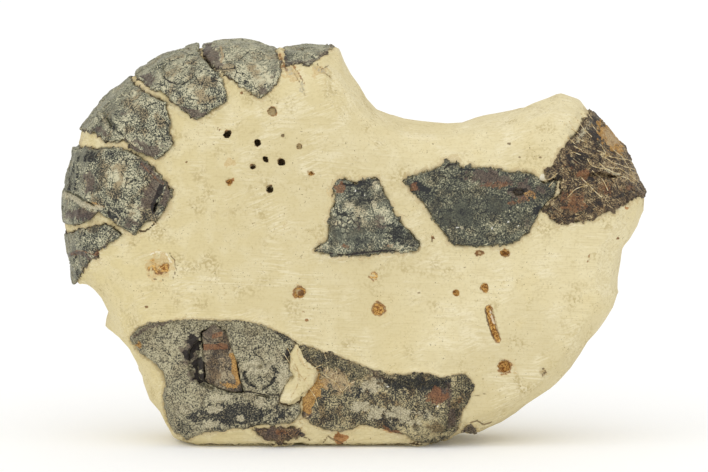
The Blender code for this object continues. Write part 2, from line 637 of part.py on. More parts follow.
def chip_cutter(x, z, radius):
    # A coarse ball centred on the front edge of the foot.
    ball = bmesh.new()
    bmesh.ops.create_icosphere(ball, subdivisions=1, radius=radius * MM)
    bmesh.ops.translate(ball, verts=ball.verts,
                        vec=Vector((x, -BASE_HALF_DEPTH - radius * 0.5, z)) * MM)
    mesh = bpy.data.meshes.new("chip")
    ball.to_mesh(mesh)
    ball.free()
    made = bpy.data.objects.new("chip", mesh)
    bpy.context.collection.objects.link(made)
    return made


def main():
    for leftover in list(bpy.data.objects):
        bpy.data.objects.remove(leftover)

    skin = Nodule(SKIN_SPACING)
    core = Nodule(UNDERSIDE_SPACING)
    step = SHELL_SPACING[0]
    flat_loops = {name: skin.settled(clockwise(outline(parts, step)))
                  for name, (_, _, parts) in FLAT.items()}
    rim_loops = {}
    pivots = {}
    for name, (_, _, parts) in WRAPPING.items():
        loop, pivots[name] = off_the_edge(parts, step, BEYOND_EDGE)
        rim_loops[name] = skin.settled(clockwise(loop))
    fine_areas = list(flat_loops.values()) + list(rim_loops.values())
    shell = Nodule((SHELL_SPACING[0], SKIN_SPACING[1] * 1.5), fine_areas, SHELL_SPACING[1])

    stone = skin.grown("stone_matrix", skin_lift)
    ridge = prism("ridge", clockwise(outline(STONE_RIDGE, step)), CUTTER_FRONT,
                  RIDGE_CUTTER_BACK)
    combine(ridge, shell.grown("ridge_top", shell_lift(STONE_RIDGE_RISE)), "INTERSECT")
    combine(stone, ridge, "UNION")

    pieces = {}
    for name, (look, rise, _) in FLAT.items():
        loop = flat_loops[name]
        cutter = prism("cutter", loop, CUTTER_FRONT, CUTTER_BACK)
        underside = core.set_back("underside", SHELL_THICKNESS)
        pieces[name] = add_shell_piece(name, look, cutter, shell.grown(name, shell_lift(rise)),
                                       underside)
        pocket = prism("pocket", widened(loop, GAP), CUTTER_FRONT, CUTTER_BACK + GAP)
        combine(pocket, core.set_back("floor", SHELL_THICKNESS + GAP), "DIFFERENCE")
        combine(stone, pocket, "DIFFERENCE")
    for name, (look, rise, _) in WRAPPING.items():
        loop = rim_loops[name]
        cutter = rim_cutter("cutter", loop, pivots[name], 0.0)
        underside = core.grown("underside", -SHELL_THICKNESS)
        pieces[name] = add_shell_piece(name, look, cutter, shell.grown(name, shell_lift(rise)),
                                       underside)
        pocket = rim_cutter("pocket", widened(loop, GAP), pivots[name], GAP)
        combine(pocket, core.grown("floor", -SHELL_THICKNESS - GAP), "DIFFERENCE")
        combine(stone, pocket, "DIFFERENCE")

    inner = prism("inner", widened(flat_loops["carapace_fragment"], GAP), CUTTER_FRONT, 0.0)
    combine(pieces["carapace_rear"], inner, "DIFFERENCE")
    for name, depth, parts in HOLLOWS:
        cutter = prism("hollow", clockwise(outline(parts, HOLLOW_STEP)), CUTTER_FRONT, 0.0)
        floor = core.grown("hollow_floor", SHELL_RISE - depth)
        combine(cutter, floor, "DIFFERENCE")
        combine(pieces[name], cutter, "DIFFERENCE")
        keep_largest_body(pieces[name])

    for x, z, radius, depth in BORINGS:
        surface = -skin.half_depths(np.array([[x, z]]))[0][0]
        combine(stone, boring_cutter(x, z, radius, depth, surface), "DIFFERENCE")
    (x0, z0), (x1, z1), radius, depth = BURROW
    middle = np.array([[(x0 + x1) / 2, (z0 + z1) / 2]])
    surface = -skin.half_depths(middle)[0][0]
    combine(stone, burrow_cutter(BURROW[:2], radius, depth, surface), "DIFFERENCE")
    for chip in FOOT_CHIPS:
        combine(stone, chip_cutter(*chip), "DIFFERENCE")
    keep_largest_body(stone)
    stone.data.materials.clear()
    stone.data.materials.append(material("mudstone"))

    for piece in (stone, *pieces.values()):
        tidy(piece, MERGE_DISTANCE, FLAT_ANGLE)
        print(piece.name, len(piece.data.polygons))
    print("triangles", sum(len(o.data.polygons) for o in bpy.data.objects))


main()
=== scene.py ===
import math
import re

import bmesh
import bpy
import numpy as np
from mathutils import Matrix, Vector, noise
from mathutils.bvhtree import BVHTree
from mathutils.kdtree import KDTree


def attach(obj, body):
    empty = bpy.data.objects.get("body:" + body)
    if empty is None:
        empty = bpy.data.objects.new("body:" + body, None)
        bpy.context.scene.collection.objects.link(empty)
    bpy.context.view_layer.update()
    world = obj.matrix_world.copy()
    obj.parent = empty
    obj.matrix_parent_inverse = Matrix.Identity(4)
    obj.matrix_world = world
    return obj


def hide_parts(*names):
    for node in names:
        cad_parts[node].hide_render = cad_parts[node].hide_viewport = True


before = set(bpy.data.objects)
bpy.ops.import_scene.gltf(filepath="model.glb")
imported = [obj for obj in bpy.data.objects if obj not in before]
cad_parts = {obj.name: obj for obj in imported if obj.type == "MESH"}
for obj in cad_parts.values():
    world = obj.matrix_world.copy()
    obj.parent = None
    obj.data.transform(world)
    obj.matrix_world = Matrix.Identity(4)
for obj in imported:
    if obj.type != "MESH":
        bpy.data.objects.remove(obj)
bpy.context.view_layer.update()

# The pieces are worked in millimetres and handed over in metres.
millimetre = 0.001
frontPlane = -13.0          # where the seen places below are measured
viewSlope = 0.105           # how much the camera's line falls for each millimetre inwards
stainKinds = ["dust", "dark", "brown", "rust", "amber", "cream", "tan", "black", "smooth", "white"]


# Nodes from Python expressions

class Signal:
    def __init__(self, graph, socket):
        self.graph = graph
        self.socket = socket

    def __add__(self, other):
        return self.graph.maths("ADD", self, other)

    def __sub__(self, other):
        return self.graph.maths("SUBTRACT", self, other)

    def __rsub__(self, other):
        return self.graph.maths("SUBTRACT", other, self)

    def __mul__(self, other):
        return self.graph.maths("MULTIPLY", self, other)

    __radd__ = __add__
    __rmul__ = __mul__


def pickSocket(sockets, key):
    if isinstance(key, int):
        return sockets[key]
    for socket in sockets:
        if socket.identifier == key:
            return socket
    return sockets[key]


class Graph:
    def __init__(self, tree):
        self.tree = tree

    def add(self, kind, settings=None, links=None, output=0):
        made = self.tree.nodes.new(kind)
        for name, value in (settings or {}).items():
            if name == "stops":
                setStops(made.color_ramp, value)
            else:
                setattr(made, name, value)
        for name, value in (links or {}).items():
            socket = pickSocket(made.inputs, name)
            if isinstance(value, Signal):
                self.tree.links.new(value.socket, socket)
            else:
                socket.default_value = value
        return Signal(self, pickSocket(made.outputs, output)) if len(made.outputs) else None

    def maths(self, operation, first, second):
        return self.add("ShaderNodeMath", {"operation": operation}, {0: first, 1: second})

    def vector(self, operation, first, second, output=0):
        links = {0: first, "Scale" if operation == "SCALE" else 1: second}
        return self.add("ShaderNodeVectorMath", {"operation": operation}, links, output)

    def noise(self, place, size, detail=2.0, seed=0.0, stretch=None):
        moved = self.vector("ADD", place, (17.3 * seed, -9.1 * seed, 5.7 * seed))
        if stretch:
            moved = self.vector("MULTIPLY", moved, stretch)
        return self.add("ShaderNodeTexNoise", {}, {"Vector": moved, "Scale": 1.0 / size, "Detail": detail})

    def netEdges(self, place, scale):
        # how far a point is from the edges of a net of irregular cells
        return self.add("ShaderNodeTexVoronoi", {"feature": "DISTANCE_TO_EDGE"},
                        {"Vector": place, "Scale": scale}, "Distance")

    def step(self, value, low, high):
        links = {"Value": value, "From Min": low, "From Max": high}
        return self.add("ShaderNodeMapRange", {"interpolation_type": "SMOOTHSTEP"}, links)

    def mix(self, factor, first, second, mode="MIX"):
        return self.add("ShaderNodeMix", {"data_type": "RGBA", "blend_type": mode},
                        {"Factor_Float": factor, "A_Color": first, "B_Color": second}, "Result_Color")

    def layer(self, colour, layers, look):
        # each share of a named colour goes over what lies below it
        for share, name in layers:
            colour = self.mix(share, colour, look[name])
        return colour

    def ramp(self, value, stops):
        return self.add("ShaderNodeValToRGB", {"stops": stops}, {"Fac": value})

    def stain(self, kind):
        return self.add("ShaderNodeAttribute", {"attribute_name": kind}, {}, "Fac")

    def turn(self, place, angle):
        settings = {"rotation_type": "Y_AXIS"}
        return self.add("ShaderNodeVectorRotate", settings, {"Vector": place, "Angle": angle})

    def three(self, *numbers):
        return self.add("ShaderNodeCombineXYZ", {}, dict(enumerate(numbers)))


def setStops(ramp, stops):
    while len(ramp.elements) < len(stops):
        ramp.elements.new(1.0)
    for element, (position, colour) in zip(ramp.elements, stops):
        element.position = position
        element.color = colour


def paint(red, green, blue):
    linear = []
    for channel in (red, green, blue):
        value = channel / 255.0
        linear.append(value / 12.92 if value <= 0.04045 else ((value + 0.055) / 1.055) ** 2.4)
    return (*linear, 1.0)


def paints(**colours):
    return {name: paint(*colour) for name, colour in colours.items()}


def newFinish(name):
    finish = bpy.data.materials.new(name)
    finish.use_nodes = True
    finish.node_tree.nodes.clear()
    return finish, Graph(finish.node_tree)


def closeFinish(graph, colour, roughness, height, bumpDepth, specular=0.4, glow=0.0):
    bump = graph.add("ShaderNodeBump", {}, {
        "Height": height, "Strength": 1.0, "Distance": bumpDepth * millimetre})
    shader = graph.add("ShaderNodeBsdfPrincipled", {}, {
        "Base Color": colour, "Roughness": roughness, "Normal": bump,
        "Specular IOR Level": specular, "Emission Color": (1.0, 1.0, 1.0, 1.0),
        "Emission Strength": glow})
    graph.add("ShaderNodeOutputMaterial", {}, {"Surface": shader})


def placeInMillimetres(graph):
    place = graph.add("ShaderNodeTexCoord", {}, {}, "Object")
    return graph.vector("SCALE", place, 1.0 / millimetre)


def spread(graph, mask, grain, edge=0.55):
    # a painted mask breaks up along its edge by the grain
    return graph.step(mask + (grain - 0.5) * edge, 0.34, 0.62)


# Geometry Nodes trees

def openTree(name, sizes):
    tree = bpy.data.node_groups.new(name, "GeometryNodeTree")
    kinds = {"Geometry": "Geometry", **dict.fromkeys(sizes, "Float"), "finish": "Material"}
    for label, kind in kinds.items():
        tree.interface.new_socket(name=label, in_out="INPUT", socket_type="NodeSocket" + kind)
    tree.interface.new_socket(name="Geometry", in_out="OUTPUT", socket_type="NodeSocketGeometry")
    graph = Graph(tree)
    entry = tree.nodes.new("NodeGroupInput")
    return tree, graph, {socket.name: Signal(graph, socket) for socket in entry.outputs if socket.name}


def closeTree(graph, geometry, given):
    whole = graph.add("GeometryNodeRealizeInstances", {}, {"Geometry": geometry})
    dressed = graph.add("GeometryNodeSetMaterial", {}, {"Geometry": whole, "Material": given["finish"]})
    leave = graph.tree.nodes.new("NodeGroupOutput")
    graph.tree.links.new(dressed.socket, leave.inputs[0])


def named(graph, name):
    return graph.add("GeometryNodeInputNamedAttribute", {"data_type": "FLOAT"}, {"Name": name})


def weatheringTree():
    sizes = ["lumpSize", "lumpDepth", "flakeSize", "flakeDepth", "grainSize", "grainDepth",
             "strokeLength", "strokeWidth", "strokeDepth", "strokeTilt", "patternSeed"]
    tree, graph, given = openTree("weathering", sizes)
    shift = graph.three(*(given["patternSeed"] * stride for stride in (11.0, -7.0, 5.0)))
    moved = graph.vector("ADD", graph.add("GeometryNodeInputPosition"), shift)

    def rough(size, detail, place=moved):
        scale = graph.maths("DIVIDE", 1.0, size)
        return graph.add("ShaderNodeTexNoise", {}, {"Vector": place, "Scale": scale, "Detail": detail}) - 0.5

    lumps = rough(given["lumpSize"], 2.0) * given["lumpDepth"] * 2.0
    flakes = graph.step(rough(given["flakeSize"], 4.0), -0.01, 0.05) * given["flakeDepth"]
    grain = rough(given["grainSize"], 3.0) * given["grainDepth"] * 2.0
    turned = graph.turn(moved, given["strokeTilt"])
    longWay, across = (graph.maths("DIVIDE", 1.0, given[size]) for size in ("strokeLength", "strokeWidth"))
    squeezed = graph.vector("MULTIPLY", turned, graph.three(longWay, across, across))
    strokes = rough(1.0, 2.0, squeezed) * given["strokeDepth"] * 2.0
    rise = (lumps + flakes + grain + strokes) * named(graph, "worn")
    offset = graph.vector("SCALE", graph.add("GeometryNodeInputNormal"), rise)
    shaped = graph.add("GeometryNodeSetPosition", {}, {"Geometry": given["Geometry"], "Offset": offset})
    closeTree(graph, shaped, given)
    return tree


def granuleTree():
    tree, graph, given = openTree("granules", ["density", "smallest", "largest", "sink"])
    scattered = graph.add("GeometryNodeDistributePointsOnFaces", {"distribute_method": "RANDOM"}, {
        "Mesh": given["Geometry"], "Density": named(graph, "granular") * given["density"], "Seed": 7})
    turn = Signal(graph, pickSocket(scattered.socket.node.outputs, "Rotation"))
    bead = graph.add("GeometryNodeMeshIcoSphere", {}, {"Radius": 1.0, "Subdivisions": 1})
    size = graph.add("FunctionNodeRandomValue", {"data_type": "FLOAT"}, {
        "Min_001": given["smallest"], "Max_001": given["largest"], "Seed": 3}, "Value_001")
    beads = graph.add("GeometryNodeInstanceOnPoints", {}, {
        "Points": scattered, "Instance": bead, "Rotation": turn,
        "Scale": graph.three(size, size, size * 0.7)})
    sunk = graph.add("GeometryNodeTranslateInstances", {}, {
        "Instances": beads, "Translation": graph.three(0.0, 0.0, given["sink"] * -1.0)})
    smooth = graph.add("GeometryNodeSetShadeSmooth", {}, {
        "Geometry": graph.add("GeometryNodeRealizeInstances", {}, {"Geometry": sunk})})
    closeTree(graph, smooth, given)
    return tree


def threadTree():
    tree, graph, given = openTree("threads", ["thickness"])
    line = graph.add("GeometryNodeMeshToCurve", {}, {"Mesh": given["Geometry"]})
    line = graph.add("GeometryNodeSetCurveRadius", {}, {"Curve": line, "Radius": named(graph, "taper")})
    ring = graph.add("GeometryNodeCurvePrimitiveCircle", {}, {"Resolution": 5, "Radius": given["thickness"]})
    tube = graph.add("GeometryNodeCurveToMesh", {}, {
        "Curve": line, "Profile Curve": ring, "Fill Caps": True})
    smooth = graph.add("GeometryNodeSetShadeSmooth", {}, {"Geometry": tube})
    closeTree(graph, smooth, given)
    return tree


def growTree(mesh, tree, values, finish):
    work = newObject("work", mesh)
    modifier = work.modifiers.new("shape", "NODES")
    modifier.node_group = tree
    for item in tree.interface.items_tree:
        if item.name == "finish":
            modifier[item.identifier] = finish
        elif item.name in values:
            modifier[item.identifier] = float(values[item.name])
    return finishedMesh(work)


def finishedMesh(work):
    # the plain mesh that a work object's modifiers give; the work object goes
    bpy.context.view_layer.update()
    graph = bpy.context.evaluated_depsgraph_get()
    seen = work.evaluated_get(graph)
    mesh = bpy.data.meshes.new_from_object(seen, preserve_all_data_layers=True, depsgraph=graph)
    source = work.data
    bpy.data.objects.remove(work)
    bpy.data.meshes.remove(source)
    return mesh


# Mesh helpers

def newObject(name, data):
    made = bpy.data.objects.new(name, data)
    bpy.context.scene.collection.objects.link(made)
    return made


def fineCopy(nodeName, voxel):
    mesh = bpy.data.meshes.new("fineCopy")
    copy = bmesh.new()
    copy.from_mesh(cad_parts[nodeName].data)
    bmesh.ops.scale(copy, vec=(1.0 / millimetre,) * 3, verts=copy.verts)
    bmesh.ops.remove_doubles(copy, verts=copy.verts, dist=0.001)
    copy.to_mesh(mesh)
    copy.free()
    work = newObject("work", mesh)
    remesh = work.modifiers.new("remesh", "REMESH")
    remesh.mode = "VOXEL"
    remesh.voxel_size = voxel
    remesh.adaptivity = 0.0
    return finishedMesh(work)


def readNumbers(rows, size, key):
    numbers = np.empty(size * 3)
    rows.foreach_get(key, numbers)
    return numbers.reshape(-1, 3)


def points(mesh):
    return readNumbers(mesh.vertices, len(mesh.vertices), "co")


def normals(mesh):
    return readNumbers(mesh.vertex_normals, len(mesh.vertices), "vector")


def movePoints(mesh, place):
    mesh.vertices.foreach_set("co", place.astype(np.float32).ravel())
    mesh.update()


def setAttribute(mesh, name, values):
    layer = mesh.attributes.get(name) or mesh.attributes.new(name, "FLOAT", "POINT")
    layer.data.foreach_set("value", np.asarray(values, np.float32))


def smoothStep(value, low, high):
    share = np.clip((value - low) / (high - low), 0.0, 1.0)
    return share * share * (3.0 - 2.0 * share)


def roughness(place, size, seed):
    shift = Vector((seed * 3.1, seed * -1.7, seed * 2.3))
    values = (noise.noise(Vector(spot) / size + shift) for spot in place)
    return np.fromiter(values, float, len(place))


def chips(place, size):
    # a different step in each small block of a turned lattice, for broken edges
    turned = place @ np.array([[0.8, 0.36, 0.48], [-0.6, 0.48, 0.64], [0.0, -0.8, 0.6]]) / size
    return np.fromiter((noise.cell(Vector(spot)) for spot in turned), float, len(place)) - 0.5


def seenPlaces(place):
    # where each point lies on the front plane as the camera sees it
    return place[:, 0], place[:, 2] + (place[:, 1] - frontPlane) * viewSlope


def blobMask(across, up, ragged, centreX, centreZ, wide, high, strength, tilt=0):
    cosine, sine = math.cos(math.radians(tilt)), math.sin(math.radians(tilt))
    dx = across - centreX
    dz = up - centreZ
    along = (dx * cosine - dz * sine) / wide
    over = (dx * sine + dz * cosine) / high
    reach = np.sqrt(along * along + over * over) + ragged * 0.7
    return strength * (1.0 - smoothStep(reach, 0.55, 1.3))


def lineDistance(across, up, path):
    nearest = np.full(len(across), 1e9)
    for (ax, az), (bx, bz) in zip(path, path[1:]):
        dx, dz = bx - ax, bz - az
        share = np.clip(((across - ax) * dx + (up - az) * dz) / (dx ** 2 + dz ** 2), 0.0, 1.0)
        nearest = np.minimum(nearest, np.hypot(across - ax - share * dx, up - az - share * dz))
    return nearest


def each(piece, marks):
    return [(kind, mark) for kind, group in piece.get(marks, {}).items() for mark in group]


def addStains(mesh, piece, seed):
    # painted marks become attributes; dark lines are cut in, pale lines stand proud
    place = points(mesh)
    facing = normals(mesh)
    across, up = seenPlaces(place)
    front = smoothStep(-facing[:, 1] + facing[:, 2] * 0.3, -0.15, 0.25) * (place[:, 1] < piece["markedTo"])
    ragged = roughness(place, 0.9, seed) + roughness(place, 0.35, seed + 1) * 0.6
    masks = {kind: np.zeros(len(place)) for kind in stainKinds}
    rise = np.zeros(len(place))
    for kind, blob in each(piece, "blobs"):
        masks[kind] = np.maximum(masks[kind], blobMask(across, up, ragged, *blob) * front)
    for kind, (width, strength, *path) in each(piece, "lines"):
        away = lineDistance(across + ragged * 0.12, up + ragged * 0.12, path)
        line = (1.0 - smoothStep(away, width * 0.3, max(0.24, width * 0.75))) * front
        masks[kind] = np.maximum(masks[kind], strength * line)
        if kind in ("black", "dark"):
            rise -= line * min(0.3, 0.12 + width * 0.3)
        elif kind in ("cream", "tan", "dust"):
            rise += line * 0.1
    for kind, hole in each(piece, "holes"):
        rise -= hollow(across, up, ragged, masks, kind, *hole) * front
    for kind in stainKinds:
        setAttribute(mesh, kind, masks[kind])
    movePoints(mesh, place + facing * rise[:, None])


def hollow(across, up, ragged, masks, kind, centreX, centreZ, radius, depth, ringed=False):
    # a bored or weathered hole: how deep each point goes, and what fills it
    away = np.hypot(across - centreX, up - centreZ) / radius + ragged * min(0.75, 0.36 / radius)
    inside = smoothStep(away, 0.3, 0.65) if ringed else 1.0
    masks[kind] = np.maximum(masks[kind], 1.1 * inside * (1.0 - smoothStep(away, 0.65, 1.0)))
    masks["tan"] = np.maximum(masks["tan"], 0.55 * (1.0 - smoothStep(away, 1.0, 2.0)))
    masks["brown"] = np.maximum(masks["brown"], 0.65 * np.exp(-((away - 1.0) / 0.25) ** 2))
    return depth * (1.0 - smoothStep(away, 0.35, 1.1)) - 0.06 * np.exp(-((away - 1.35) / 0.25) ** 2)


def treeOf(place):
    tree = KDTree(len(place))
    for number, spot in enumerate(place):
        tree.insert(spot, number)
    tree.balance()
    return tree


def gapTo(tree, place):
    return np.fromiter((tree.find(spot)[2] for spot in place), float, len(place))


def handOver(mesh, name, nodeName=None):
    place = points(mesh) * millimetre
    place[:, 2] = np.maximum(place[:, 2], 0.0)
    movePoints(mesh, place)
    mesh.shade_smooth()
    mesh.name = name
    piece = newObject(name, mesh)
    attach(piece, "root")
    if nodeName:
        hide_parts(nodeName)
    print(name, len(mesh.polygons), "faces")
    return piece


# Camera, light and floor

view = {
    "tilt": 6.0,                        # degrees above level
    "distance": 1.4,
    "frameWidth": 0.123,                # how much of the front plane the picture spans
    "target": (0.00009, -0.013, 0.0371),
}


def addCamera():
    tilt = math.radians(view["tilt"])
    data = bpy.data.cameras.new("camera")
    data.lens = data.sensor_width * view["distance"] / view["frameWidth"]
    data.clip_end = 20.0
    camera = newObject("camera", data)
    back = Vector((0.0, -math.cos(tilt), math.sin(tilt))) * view["distance"]
    camera.location = Vector(view["target"]) + back
    camera.rotation_euler = (-back).to_track_quat("-Z", "Y").to_euler()
    bpy.context.scene.camera = camera


studio = {
    "sky": 0.81,                        # even light from all round
    "key": 0.85,                        # large lamp above and in front
    "keyFrom": (-0.1, -0.7, 1.0),
    "keySpread": 85.0,                  # degrees
    "floorSize": 6.0,
    "floorColour": paint(253, 253, 252),
    "floorGlow": 0.045,                 # as of a light box
}


def addStudio():
    world = bpy.data.worlds.new("studio")
    world.use_nodes = True
    sky = world.node_tree.nodes["Background"].inputs
    sky["Color"].default_value = (1.0, 1.0, 1.0, 1.0)
    sky["Strength"].default_value = studio["sky"]
    bpy.context.scene.world = world
    data = bpy.data.lights.new("key", "SUN")
    data.energy = studio["key"]
    data.angle = math.radians(studio["keySpread"])
    lamp = newObject("key", data)
    lamp.rotation_euler = (-Vector(studio["keyFrom"])).to_track_quat("-Z", "Y").to_euler()
    half = studio["floorSize"] / 2.0
    mesh = bpy.data.meshes.new("floor")
    corners = [(-half, -half, 0), (half, -half, 0), (half, half, 0), (-half, half, 0)]
    mesh.from_pydata(corners, [], [(0, 1, 2, 3)])
    floor = newObject("floor", mesh)
    finish, graph = newFinish("floorPaper")
    place = placeInMillimetres(graph)
    fibre = graph.noise(place, 1.5, 3.0)
    closeFinish(graph, studio["floorColour"], 0.9, fibre, 0.02, 0.2, studio["floorGlow"])
    mesh.materials.append(finish)
    bpy.context.scene.view_settings.view_transform = "Standard"


addCamera()
addStudio()
print("camera, light and floor are ready")


# Finishes

def toolMarks(graph, place, tilt, length, width, seed):
    return graph.noise(graph.turn(place, tilt), 1.0, 2.0, seed, (1.0 / length, 1.0 / width, 1.0 / width))


def stoneFinish(look):
    finish, graph = newFinish("creamMudstone")
    place = placeInMillimetres(graph)
    broad = graph.noise(place, 14.0, 2.0, 1)
    middle = graph.noise(place, 3.0, 3.0, 2)
    fine = graph.noise(place, 0.45, 3.0, 3)
    powder = graph.noise(place, 0.16, 2.0, 4)
    across = graph.add("ShaderNodeSeparateXYZ", {}, {0: place}, 0)
    leftness = graph.step(across * -1.0 + (broad - 0.5) * 60.0, -30.0, 40.0)
    # painted shade: broad darker, greyer patches in the middle of the front and at the lower right
    middleShade = graph.step(graph.vector("DISTANCE", place, look["middleShadeAt"], "Value")
                        + (middle - 0.5) * 14.0, 34.0, 10.0)
    shaded = graph.step(graph.vector("DISTANCE", place, look["shadedAt"], "Value")
                        + (middle - 0.5) * 10.0, 21.0, 9.0)
    strokes = toolMarks(graph, place, 0.38, 3.6, 0.26, 5) * graph.step(broad, 0.42, 0.56)
    strokes = strokes + toolMarks(graph, place, -0.06, 4.5, 0.3, 6) * graph.step(broad, 0.58, 0.44)
    marked = graph.step(graph.noise(place, 6.0, 3.0, 9), 0.42, 0.62)
    scored = toolMarks(graph, place, -0.03, 8.0, 0.15, 10)
    back = graph.stain("unprepared")
    clouds = graph.noise(place, 5.0, 6.0, 8)
    crust = graph.step(clouds + middle * 0.4, 0.58, 0.9) * back
    dirt = graph.step(clouds, 0.52, 0.72) * graph.step(fine, 0.4, 0.6)
    specks = graph.step(graph.noise(place, 0.3, 1.0, 7), 0.68, 0.74) * graph.step(middle, 0.45, 0.6)
    colour = graph.layer(graph.mix(leftness, look["right"], look["left"]), [
        (graph.step(middle, 0.42, 0.66) * 0.7, "light"),
        (graph.step(broad * 0.5 + middle * 0.5, 0.5, 0.64) * 0.45, "warm"),
        (middleShade * 0.4, "grey"), (shaded * 0.5, "grey"),
        (graph.step(strokes, 0.5, 0.7) * marked * 0.5, "chalk"),
        (graph.step(strokes, 0.48, 0.3) * marked * 0.35, "shade"),
        (graph.step(scored, 0.54, 0.68) * 0.45, "shade"),
        (graph.step(fine, 0.5, 0.7) * 0.42, "shade"),
        (crust * graph.step(fine, 0.35, 0.6) * 0.45, "crust"),
        (dirt * (back * 0.2 + 0.8), "dirt"), (specks * 0.7, "speck"),
        # the seam share is painted shade and dirt on the stone beside the shell
        (spread(graph, graph.stain("seam"), fine * 0.5 + middle * 0.5, 2.6) * 0.35, "seam")], look)
    flecks = graph.step(powder * 0.4 + fine * 0.6, 0.45, 0.55)
    for kind, share in (("tan", 0.6), ("rust", 0.85), ("brown", 0.85), ("amber", 0.9), ("dark", 0.8),
                        ("black", 0.95), ("dust", 0.8), ("cream", 0.7)):
        mask = spread(graph, graph.stain(kind), middle * 0.3 + fine * 0.7, 1.2)
        colour = graph.mix(mask * share, colour, graph.mix(flecks, look[kind], look[kind + "Pale"]))
    height = fine * 0.5 + powder * 0.4 + strokes * marked * 0.9 - scored * 0.5
    closeFinish(graph, colour, fine * 0.12 + 0.8, height, 0.1, 0.25)
    return finish


def shellFinish(name, look):
    finish, graph = newFinish(name)
    place = placeInMillimetres(graph)
    seed = look["seed"]
    speck = graph.noise(place, look["speckSize"], 2.0, seed)
    coarse = graph.noise(place, 0.8, 3.0, seed + 1)
    patch = graph.noise(place, look["patchSize"], 3.0, seed + 2)
    dust, dark, smooth = (spread(graph, graph.stain(kind), coarse, edge)
                          for kind, edge in (("dust", 0.6), ("dark", 0.6), ("smooth", 0.3)))
    patchTone = (patch - 0.5) * look["patchShare"]
    grainTone = (speck - 0.5) * look["contrast"] + (coarse - 0.5) * 0.25
    tone = patchTone + grainTone * (1.0 - smooth * 0.55) + look["tone"]
    tone = tone + dust * look["dusting"] - dark * 0.28
    bent = graph.noise(place, 1.4, 2.0, seed + 4)
    folded = graph.vector("ADD", place, graph.three(bent * 2.2, bent * 1.4, bent * -2.0))
    hairlines = graph.step(graph.netEdges(folded, 0.32), 0.035, 0.012) * graph.step(patch, 0.44, 0.54)
    tone = tone - hairlines * look["hairlines"]
    colour = graph.ramp(tone, [(0.30, look["deep"]), (0.50, look["middle"]),
                               (0.64, look["pale"]), (0.80, look["bright"])])
    stained = graph.step(graph.noise(place, 2.6, 3.0, seed + 5), 0.46, 0.62)
    colour = graph.mix(stained * look["stain"], colour, look["umber"], "MULTIPLY")
    if look["fibres"]:
        strands = toolMarks(graph, place, look["fibreTilt"], 3.0, 0.16, seed)
        matted = graph.step(strands, 0.54, 0.66) * graph.step(patch, 0.36, 0.56)
        colour = graph.mix(matted * look["fibres"], colour, look["bright"])
    if look.get("crackle"):
        cells = graph.netEdges(graph.vector("ADD", place, (0.3, 0.1, 0.2)), 1.0 / look["crackle"])
        crack = graph.step(cells, 0.13, 0.04) * smooth * graph.step(patch, 0.4, 0.52)
        colour = graph.mix(crack * 0.85, colour, look["deep"])
    # where a plate bends over the edge of the stone it is worn smooth and pale
    facing = graph.add("ShaderNodeTexCoord", {}, {}, "Normal")
    forward = graph.add("ShaderNodeSeparateXYZ", {}, {0: facing}, 1) * -1.0
    bend = graph.step(forward + (coarse - 0.5) * 0.5, 0.75, 0.35) * look["wornShare"]
    tintWorn = graph.mix(graph.step(speck, 0.3, 0.7), look["worn"], look["pale"])
    rim = graph.stain("rim")
    colour = graph.mix(bend * (1.0 - rim), colour, tintWorn)
    rimMask = graph.step(rim + (coarse - 0.5) * 0.9, 0.45, 0.85)
    colour = graph.mix(rimMask * look["rimShare"], colour, look["rim"])
    powder = graph.step(graph.noise(place, 0.2, 2.0, seed + 3), 0.38, 0.62)
    for kind, share in (("brown", 0.78), ("rust", 0.7), ("amber", 0.88), ("tan", 0.75),
                        ("cream", 0.8), ("white", 0.9), ("black", 0.97)):
        ragged = {"black": 0.9, "white": 0.5}.get(kind, 1.5)
        mask = spread(graph, graph.stain(kind), coarse * 0.55 + speck * 0.45, ragged)
        colour = graph.mix(mask * share, colour, graph.mix(powder, tints[kind], tints[kind + "Pale"]))
    edgeDust = graph.stain("contact") * graph.step(coarse * 0.5 + speck * 0.5, 0.4, 0.56)
    colour = graph.mix(edgeDust * 0.85, colour, tints["matrix"])
    height = speck * 0.7 + coarse * 0.5 - hairlines * 0.6
    shine = coarse * 0.3 + look["roughness"] - 0.15
    closeFinish(graph, colour, shine + dust * 0.15, height, look["bump"], 0.45)
    return finish


tints = paints(
    matrix=(206, 191, 148), brown=(58, 44, 38), brownPale=(106, 88, 76), rust=(96, 56, 32),
    rustPale=(150, 100, 58), amber=(142, 100, 48), amberPale=(204, 160, 86), tan=(160, 134, 96),
    tanPale=(196, 174, 134), cream=(150, 142, 114), creamPale=(212, 202, 170), white=(214, 210, 196),
    whitePale=(240, 238, 228), black=(17, 12, 9), blackPale=(40, 29, 22))

# the first two places are the centres of the painted shade on the stone's front
stoneLook = {"middleShadeAt": (-8.0, -13.0, 36.0), "shadedAt": (30.0, -12.0, 8.0), **paints(
    right=(224, 211, 169), left=(220, 205, 156), light=(231, 220, 182), warm=(214, 196, 142),
    # seam is the colour of the painted shade and dirt beside the shell
    chalk=(240, 231, 201), shade=(202, 186, 140), speck=(112, 90, 56), seam=(186, 160, 114),
    # grey is the colour of the painted shade in the middle and at the lower right
    dirt=(184, 166, 118), crust=(190, 162, 106), grey=(204, 190, 148), tan=(196, 164, 108),
    tanPale=(214, 190, 142), rust=(150, 92, 44), rustPale=(186, 130, 74), amber=(138, 86, 34),
    amberPale=(230, 186, 106), dark=(96, 78, 56), darkPale=(130, 108, 78), black=(48, 36, 22),
    blackPale=(92, 72, 46), brown=(104, 66, 34), brownPale=(150, 104, 60), dust=(150, 144, 124),
    dustPale=(186, 178, 154), cream=(240, 232, 206), creamPale=(248, 243, 226))}

